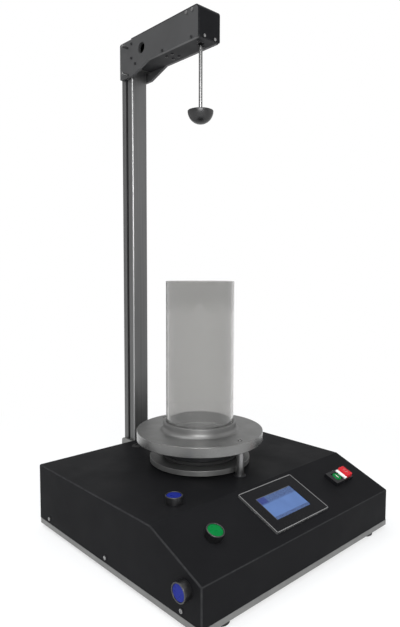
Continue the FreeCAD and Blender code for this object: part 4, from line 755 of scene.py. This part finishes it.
class TESTER_OT_clamp(bpy.types.Operator):
    """Build the upper and lower film clamp, the sleeve between them and the two lift posts"""
    bl_idname = "tester.clamp"
    bl_label = "Film clamp"

    def execute(self, context):
        made = sizes()
        count = made.segments
        low, top = heights("upper_clamp_ring")
        disc_top = top - made.collar_height / MM
        outer, bore = half_width("upper_clamp_ring") / MM, made.bore / MM
        collar, seat = made.collar / MM, half_width("shield_tube") / MM + 0.2
        seat_floor = disc_top - made.tube_seat / MM
        lip = 2
        edge, root = made.disc_edge / MM, made.collar_root / MM
        make_turned(rounded([
            (bore, low, 0.4), (outer, low, edge), (outer, disc_top, edge), (collar, disc_top, root),
            (collar, top, 1.4), (seat, top, 0.8), (seat, seat_floor, 0.0), (bore + lip, seat_floor, 0.3),
            (bore, seat_floor - lip, 0.3)]),
            "clamp_disc", satin_rings, "upper_clamp", "clear_anodised", ["upper_clamp_ring"], segments=count)
        low, top = heights("lower_clamp_ring")
        outer = half_width("lower_clamp_ring") / MM
        make_turned(rounded([
            (bore, low, 0.3), (outer, low, 0.3), (outer, top, 0.9), (bore, top, 0.9)]),
            "clamp_seat", satin_rings, "frame", "clear_anodised", ["lower_clamp_ring"], segments=count)
        low, top = heights("clamp_sleeve")
        outer = half_width("clamp_sleeve") / MM
        centre = (low + top) / 2
        groove_low, groove_top, inner = centre - 3, centre + 3, outer - 2
        make_turned(rounded([
            (bore, low, 0.3), (outer, low, 0.6), (outer, groove_low, 0.5), (inner, groove_low, 0.4),
            (inner, groove_top, 0.4), (outer, groove_top, 0.5), (outer, top, 0.6), (bore, top, 0.3)]),
            "clamp_spacer", black_anodising, "upper_clamp", "black_plastic", ["clamp_sleeve"], segments=count)
        low, top = heights("clamp_gasket")
        outer = half_width("clamp_gasket") / MM
        make_turned(rounded([
            (bore, low, 0.5), (outer, low, 2.5), (outer, top, 2.5), (bore, top, 0.5)], 6),
            "clamp_seal", black_rubber, "upper_clamp", "black_rubber", ["clamp_gasket"], segments=count)
        dress(satin_rings, "clear_anodised", "catch_well")
        self.posts(made)
        return {"FINISHED"}

    def posts(self, made):
        low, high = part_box("lift_posts")
        reach = (high.y - low.y) / 2 - made.post
        end, top = heights("lift_posts")
        post, flange = made.post / MM, half_width("post_bushes") / MM
        foot, lip = heights("post_bushes")
        bore, neck, shoulder = post + 0.1, post + 2.2, lip - 1.5
        crown, head = heights("post_screws")[1], 1.8
        rods, bushes, screws = bmesh.new(), bmesh.new(), bmesh.new()
        for sign in (-1, 1):
            place = Matrix.Translation((AXIS.x, AXIS.y + sign * reach, 0.0))
            turn(rods, rounded([(0, end, 0), (post, end, 0.8), (post, top, 0.3), (0, top, 0)]), place)
            turn(bushes, rounded([(bore, foot, 0.2), (neck, foot, 0.3), (neck, shoulder, 0.0),
                                  (flange, shoulder, 0.0), (flange, lip, 0.8), (bore, lip, 0.5)]), place)
            cap_screw(screws, place @ raised(crown - head), half_width("post_screws") / MM, head, 1.9)
        make("clamp_posts", rods, satin_steel, "upper_clamp", "bright_steel", ["lift_posts"])
        make("post_collars", bushes, black_plastic, "frame", "black_plastic", ["post_bushes"])
        make("post_screw_heads", screws, bright_chrome, "upper_clamp", "bright_steel", ["post_screws"])


class TESTER_OT_guard(bpy.types.Operator):
    """Build the clear guard tube that stands in the clamp's collar"""
    bl_idname = "tester.guard"
    bl_label = "Guard tube"

    def execute(self, context):
        made = sizes()
        low, top = heights("shield_tube")
        outer = half_width("shield_tube") / MM
        inner = outer - made.tube_wall / MM
        make_turned(rounded([(inner, low, 0.4), (outer, low, 0.4), (outer, top, 0.7), (inner, top, 0.7)]),
                    "guard_tube", smoked_acrylic, "upper_clamp", "smoked_acrylic", ["shield_tube"],
                    segments=made.segments)
        return {"FINISHED"}


class TESTER_OT_column(bpy.types.Operator):
    """Finish the slotted column, its cap, its two brackets and their screws"""
    bl_idname = "tester.column"
    bl_label = "Column"

    def execute(self, context):
        dress(column_anodising, "column_anodised", "column_extrusion")
        dress(black_plastic, "black_plastic", "column_cap")
        dress(milled_plate, "base_aluminium", "column_brackets")
        dress(zinc_plate, "zinc_steel", "slot_nuts", "column_support")
        dress(black_oxide, "black_screws", "bracket_screws")
        return {"FINISHED"}


class TESTER_OT_head(bpy.types.Operator):
    """Finish the drop head and build its small screws"""
    bl_idname = "tester.head"
    bl_label = "Drop head"

    def execute(self, context):
        dress(head_coat, "dark_head_coat", "head_cheek_left", "head_cheek_right")
        # Painted shade: the head's underside takes a darker copy of the head's coat.
        dress(underside_shade_coat, "dark_head_coat", "head_floor")
        # Painted shade: the head's cover takes the near-black coat of the base, darker than the cheeks' coat.
        dress(powder_coat, "black_powder_coat", "head_cover")
        dress(milled_plate, "base_aluminium", "head_tie_bar", "head_guide_block")
        dress(bright_chrome, "bright_steel", "head_set_screws")
        self.screws()
        dress(dark_polish, "magnet_case", "electromagnet")
        dress(black_plastic, "black_plastic", "terminal_block")
        dress(zinc_plate, "zinc_steel", "slide_keys")
        return {"FINISHED"}

    def screws(self):
        """Screws of the cheeks, the front and the floor, each placed from the dart's axis."""
        top, under = heights("head_cheek_left")[1], heights("head_floor")[0]
        left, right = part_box("head_cheek_left")[0].x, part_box("head_cheek_right")[1].x
        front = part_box("head_cover")[0].y
        radius, thick = 3.0, 1.7
        low_row = under + 4
        bright, dark = [], []
        for back, up, kind in (
            (-6.4, top - 5, bright), (10.5, top - 5, bright), (-3.6, low_row, dark), (84.6, low_row, dark),
            (176.7, low_row, dark), (189.7, top - 9.5, dark), (190.25, under + 18.7, dark),
        ):
            for x, way in ((left, "left"), (right, "right")):
                kind.append((Vector((x, AXIS.y + back * MM, up * MM)), way, radius, thick))
        for side in (-13.75, 13.75):
            bright.append((Vector((AXIS.x + side * MM, front, low_row * MM)), "front", radius, thick))
        for across, back in ((-13.5, -8), (13.5, 8), (-9, 75.6), (-9, 93.6), (9, 75.6), (9, 93.6)):
            place = Vector((AXIS.x + across * MM, AXIS.y + back * MM, under * MM))
            dark.append((place, "under", radius, thick))
        small_screws("head_dark_screws", dark, "head", black_oxide, "black_screws", ["head_screws"])
        small_screws("head_bright_screws", bright, "head", satin_steel, "black_screws")


class TESTER_OT_dart(bpy.types.Operator):
    """Build the dart: its round head, its shaft and its steel tip"""
    bl_idname = "tester.dart"
    bl_label = "Dart"

    def execute(self, context):
        centre = heights("dart_head")[1]
        radius = half_width("dart_head") / MM
        shaft_low, shaft_top = heights("dart_shaft")
        shaft = half_width("dart_shaft") / MM
        bore = shaft + 0.05
        arc = [(radius * math.sin(angle), centre - radius * math.cos(angle))
               for angle in (math.pi / 2 * step / 40 for step in range(40))]
        rim = [(radius - 0.15, centre - 0.15), (radius - 0.5, centre)]
        make_turned(arc + rim + [(bore, centre), (bore, shaft_low), (0, shaft_low)],
                    "dart_ball", dark_polish, "dart", "dart_chrome", ["dart_head"], segments=sizes().segments)
        make_turned(rounded([
            (0, shaft_low, 0), (shaft, shaft_low, 0.2), (shaft, shaft_top, 0.0), (0, shaft_top, 0)]),
            "dart_rod", bright_chrome, "dart", "bright_steel", ["dart_shaft"], segments=64)
        low, top = heights("dart_tip")
        make_turned(rounded([(0, low, 0), (shaft, low, 0.2), (shaft, (low + top) / 2, 0.6),
                             (shaft * 2 / 3, top, 0.3), (0, top, 0)]),
                    "dart_point", bright_chrome, "dart", "bright_steel", ["dart_tip"], segments=64)
        return {"FINISHED"}


class TESTER_OT_buttons(bpy.types.Operator):
    """Build the three push buttons with their dark bezels"""
    bl_idname = "tester.buttons"
    bl_label = "Push buttons"

    def execute(self, context):
        made = sizes()
        outer, inner = made.bezel / MM, (made.bezel - made.bezel_wall) / MM
        rise, neck, stem = made.bezel_rise / MM, made.button_neck / MM, made.button_stem / MM
        bore, thread, ledge = stem + 0.1, 11, 1.7
        foot, crown, end = made.button_travel / MM + 1.9, rise - 0.6, -neck - 1
        edge = inner - 0.2
        reach = (crown + end) / 2
        left = Matrix.Rotation(-math.pi / 2, 4, "Y")
        over = Matrix.Translation(middle("raise_button")) @ raised(-reach)
        beside = Matrix.Translation(middle("clamp_button")) @ left @ raised(-reach)
        spots = (
            ("raise_button", blue_cap, "button_blue", over),
            ("release_button", green_cap, "button_green", seat_on_slope("release_button", reach)),
            ("clamp_button", blue_cap, "button_blue", beside),
        )
        bezels = bmesh.new()
        for name, finish, slot, place in spots:
            turn(bezels, rounded([
                (bore, -neck, 0.0), (thread, -neck, 0.3), (thread, 0, 0.0), (outer, 0, 0.4),
                (outer, rise, 1.1), (inner, rise, 0.6), (inner, ledge, 0.2), (bore, ledge, 0.2)]), place, 72)
            make_turned(rounded([(0, end, 0.0), (stem, end, 0.3), (stem, foot, 0.0), (edge, foot, 0.3),
                                 (edge, crown, 1.0), (0, crown - 0.15, 0.0)]),
                        name.replace("button", "cap"), finish, name, slot, [name], place=place, segments=72)
        make("bezels", bezels, black_chrome, "frame", "black_chrome", ["button_bezels"])
        dress(zinc_plate, "zinc_steel", "button_nuts")
        dress(black_plastic, "black_plastic", "button_contacts")
        return {"FINISHED"}


class TESTER_OT_panel(bpy.types.Operator):
    """Finish the touch panel with its silver frame, black bezel and lit screen"""
    bl_idname = "tester.panel"
    bl_label = "Touch panel"

    def execute(self, context):
        dress(bright_frame, "clear_anodised", "panel_frame")
        dress(panel_film, "panel_black", "panel_bezel")
        dress(black_plastic, "black_plastic", "panel_housing")
        dress(lit_screen, "screen_glass", "panel_screen")
        return {"FINISHED"}


class TESTER_OT_switch(bpy.types.Operator):
    """Build the mains switch: a round ON button, a white lamp and a raised OFF button"""
    bl_idname = "tester.switch"
    bl_label = "Mains switch"

    def execute(self, context):
        dress(black_plastic, "black_plastic", "switch_block")
        place = seat_on_slope("switch_housing", 4.0)
        on_place, off_place = (place @ Matrix.Translation((across * MM, 0, 0)) for across in (-8.5, 17.75))
        window, foot, on_reach = 12.2, 4.3, 9
        on_top, off_top = 8, 14.0
        self.body(place)
        make_slab(rectangle(2.0, 9.0, -window, window, 0.8), 1.0, 10.0, 1.0, place,
                  "switch_lens", white_lens, "frame", "lamp_white", ["switch_lamp"])
        make_turned(rounded([
            (0, foot, 0), (on_reach, foot, 0.2), (on_reach, on_top, 0.8), (0, on_top - 0.1, 0)]),
            "switch_on", green_cap, "on_button", "button_green", ["on_button"], place=on_place, segments=64)
        make_slab(rectangle(-9.3, -7.7, -4.2, 4.2, 0.4), on_top - 0.2, on_top, 0.0, place,
                  "on_mark", symbol_ink, "on_button", "button_green")
        make_slab(rectangle(9.3, 26.2, -window, window, 1.4), foot, off_top, 1.4, place,
                  "switch_off", red_cap, "off_button", "button_red", ["off_button"])
        make_turned([(3.0, off_top - 0.1), (4.4, off_top - 0.1), (4.4, off_top), (3.0, off_top)],
                    "off_mark", symbol_ink, "off_button", "button_red", place=off_place, segments=48)
        return {"FINISHED"}

    def body(self, place):
        """Housing, with a rim round the ON button's well and the well of lamp and OFF button."""
        wide, tall, floor, rim = 28, 15, 1.0, 8.0
        on_left, on_right, on_side = -18.1, 0.4, 9.6
        off_left, off_right, off_side = 1.6, 26.6, 12.6
        bm = bmesh.new()
        prism(bm, rectangle(-wide, wide, -tall, tall, 3.0), 0.0, floor, place)
        for left, right, low, high in (
            (-wide, on_right, on_side, tall), (-wide, on_right, -tall, -on_side),
            (-wide, on_left, -on_side, on_side), (on_right, off_left, -tall, tall),
            (off_left, off_right, off_side, tall), (off_left, off_right, -tall, -off_side),
            (off_right, wide, -tall, tall),
        ):
            prism(bm, rectangle(left, right, low, high), floor, rim, place)
        make("switch_body", bm, glossy_housing, "frame", "black_plastic", ["switch_housing"])


class TESTER_OT_inside(bpy.types.Operator):
    """Finish the works inside the base"""
    bl_idname = "tester.inside"
    bl_label = "Inner works"

    def execute(self, context):
        dress(zinc_plate, "zinc_steel", "power_supply", "air_valve", "lift_cylinders")
        dress(black_plastic, "black_plastic", "lift_pistons")
        dress(board_lacquer, "board_green", "control_board")
        return {"FINISHED"}


class TESTER_OT_stage(bpy.types.Operator):
    """Set the pale floor, the soft studio light and the camera"""
    bl_idname = "tester.stage"
    bl_label = "Stage"

    def execute(self, context):
        self.floor()
        self.surroundings(context.scene)
        self.lamps()
        self.camera(context.scene)
        return {"FINISHED"}

    def floor(self):
        bm = bmesh.new()
        bmesh.ops.create_grid(bm, x_segments=2, y_segments=2, size=6.0)
        mesh = bpy.data.meshes.new("floor")
        bm.to_mesh(mesh)
        bm.free()
        floor = bpy.data.objects.new("floor", mesh)
        bpy.context.scene.collection.objects.link(floor)
        shader = Shader("pale_floor", colours().paper, roughness=0.9, specular=0.1)
        shader.mottled(0.004, scale=3.0)
        reach = shader.add("ShaderNodeVectorMath", {0: shader.place}, operation="LENGTH").outputs["Value"]
        far = shader.spread(reach, 0.55, 1.0, 0.25, 1.1)
        ray = shader.add("ShaderNodeLightPath").outputs
        seen = shader.largest(ray["Is Camera Ray"], ray["Is Glossy Ray"], ray["Is Transmission Ray"])
        white = shader.add("ShaderNodeEmission", {"Color": (1.0, 1.0, 1.0, 1.0), "Strength": 1.0})
        shader.show(shader.multiply(far, seen), white.outputs[0])
        mesh.materials.append(shader.material)

    def surroundings(self, scene):
        world = bpy.data.worlds.new("studio")
        world.use_nodes = True
        scene.world = world
        tree = world.node_tree
        tree.nodes.clear()

        def add(kind, inputs=None, **settings):
            return add_node(tree, kind, inputs, **settings).outputs

        ray = add("ShaderNodeLightPath")
        soft = add("ShaderNodeBackground", {"Color": (0.90, 0.95, 1.0, 1.0), "Strength": 0.60})[0]
        white = add("ShaderNodeBackground", {"Color": (1.0, 1.0, 1.0, 1.0), "Strength": 1.0})[0]
        seen = add("ShaderNodeMath", {0: ray["Is Camera Ray"], 1: ray["Is Transmission Ray"]},
                   operation="MAXIMUM")[0]
        plain = add("ShaderNodeMixShader", {0: seen, 1: soft, 2: white})[0]
        way = add("ShaderNodeTexCoord")["Generated"]
        fades = []
        for darker, low, high, least in (
            ((0.0, 0.0, 1.0), 0.15, 0.65, 0.65), ((-0.69, -0.72, 0.0), 0.35, 0.95, 0.55),
        ):
            near = add("ShaderNodeVectorMath", {0: way, 1: darker}, operation="DOT_PRODUCT")["Value"]
            fade = add("ShaderNodeMapRange", {"Value": near, "From Min": low, "From Max": high,
                                              "To Min": 1.0, "To Max": least})
            fades.append(fade["Result"])
        strength = add("ShaderNodeMath", dict(enumerate(fades)), operation="MULTIPLY")[0]
        mirrored = add("ShaderNodeBackground", {"Strength": strength})[0]
        either = add("ShaderNodeMixShader", {0: ray["Is Glossy Ray"], 1: plain, 2: mirrored})[0]
        add("ShaderNodeOutputWorld", {"Surface": either})

    def lamps(self):
        target = Vector((0.0, 0.0, 0.45))
        for name, place, breadth, power in (
            ("key", (-1.20, -1.33, 1.05), (1.2, 0.85), 30.0),
            ("fill", (1.9, -1.6, 1.5), (1.6, 2.0), 5.0),
            ("crown", (-0.35, 0.35, 2.7), (2.2, 2.2), 36.0),
        ):
            lamp = bpy.data.lights.new(name, "AREA")
            lamp.shape = "RECTANGLE"
            lamp.size, lamp.size_y = breadth
            lamp.energy = power
            lit = bpy.data.objects.new(name, lamp)
            lit.location = place
            lit.rotation_euler = (target - Vector(place)).to_track_quat("-Z", "Y").to_euler()
            bpy.context.scene.collection.objects.link(lit)

    def camera(self, scene):
        stand = Vector((-0.7343, -0.78075, 0.5101))
        heading, pitch, roll = math.radians(-42.78), math.radians(-4.27), math.radians(0.15)
        level = math.cos(pitch)
        ahead = Vector((-math.sin(heading) * level, math.cos(heading) * level, math.sin(pitch)))
        right = ahead.cross(Vector((0, 0, 1))).normalized()
        up = right.cross(ahead)
        right, up = right * math.cos(roll) + up * math.sin(roll), up * math.cos(roll) - right * math.sin(roll)
        turned = Matrix((right, up, -ahead)).transposed().to_quaternion()
        lens = bpy.data.cameras.new("camera")
        lens.sensor_width = 36.0
        lens.lens = 31.21
        camera = bpy.data.objects.new("camera", lens)
        camera.matrix_world = Matrix.LocRotScale(stand, turned, None)
        scene.collection.objects.link(camera)
        scene.camera = camera
        scene.view_settings.view_transform = "Standard"


STEPS = ("enclosure", "clamp", "guard", "column", "head", "dart", "buttons", "panel", "switch", "inside",
         "stage")


class TESTER_PT_sidebar(bpy.types.Panel):
    """Sizes, colours and the steps that build the tester's look"""
    bl_idname = "TESTER_PT_sidebar"
    bl_label = "Falling dart impact tester"
    bl_space_type = "VIEW_3D"
    bl_region_type = "UI"
    bl_category = "Tester"

    def draw(self, context):
        column = self.layout.column(align=True)
        for step in STEPS:
            column.operator(f"tester.{step}")
        for owner in (context.scene.tester_sizes, context.scene.tester_colours):
            column = self.layout.column(align=True)
            for name in owner.__annotations__:
                column.prop(owner, name)


CLASSES = (
    TesterSizes, TesterColours, TESTER_OT_enclosure, TESTER_OT_clamp, TESTER_OT_guard, TESTER_OT_column,
    TESTER_OT_head, TESTER_OT_dart, TESTER_OT_buttons, TESTER_OT_panel, TESTER_OT_switch, TESTER_OT_inside,
    TESTER_OT_stage, TESTER_PT_sidebar,
)


def register():
    for kind in CLASSES:
        bpy.utils.register_class(kind)
    bpy.types.Scene.tester_sizes = PointerProperty(type=TesterSizes)
    bpy.types.Scene.tester_colours = PointerProperty(type=TesterColours)


def unregister():
    del bpy.types.Scene.tester_colours
    del bpy.types.Scene.tester_sizes
    for kind in reversed(CLASSES):
        bpy.utils.unregister_class(kind)


def main():
    register()
    for step in STEPS:
        getattr(bpy.ops.tester, step)()


if __name__ == "__main__":
    main()
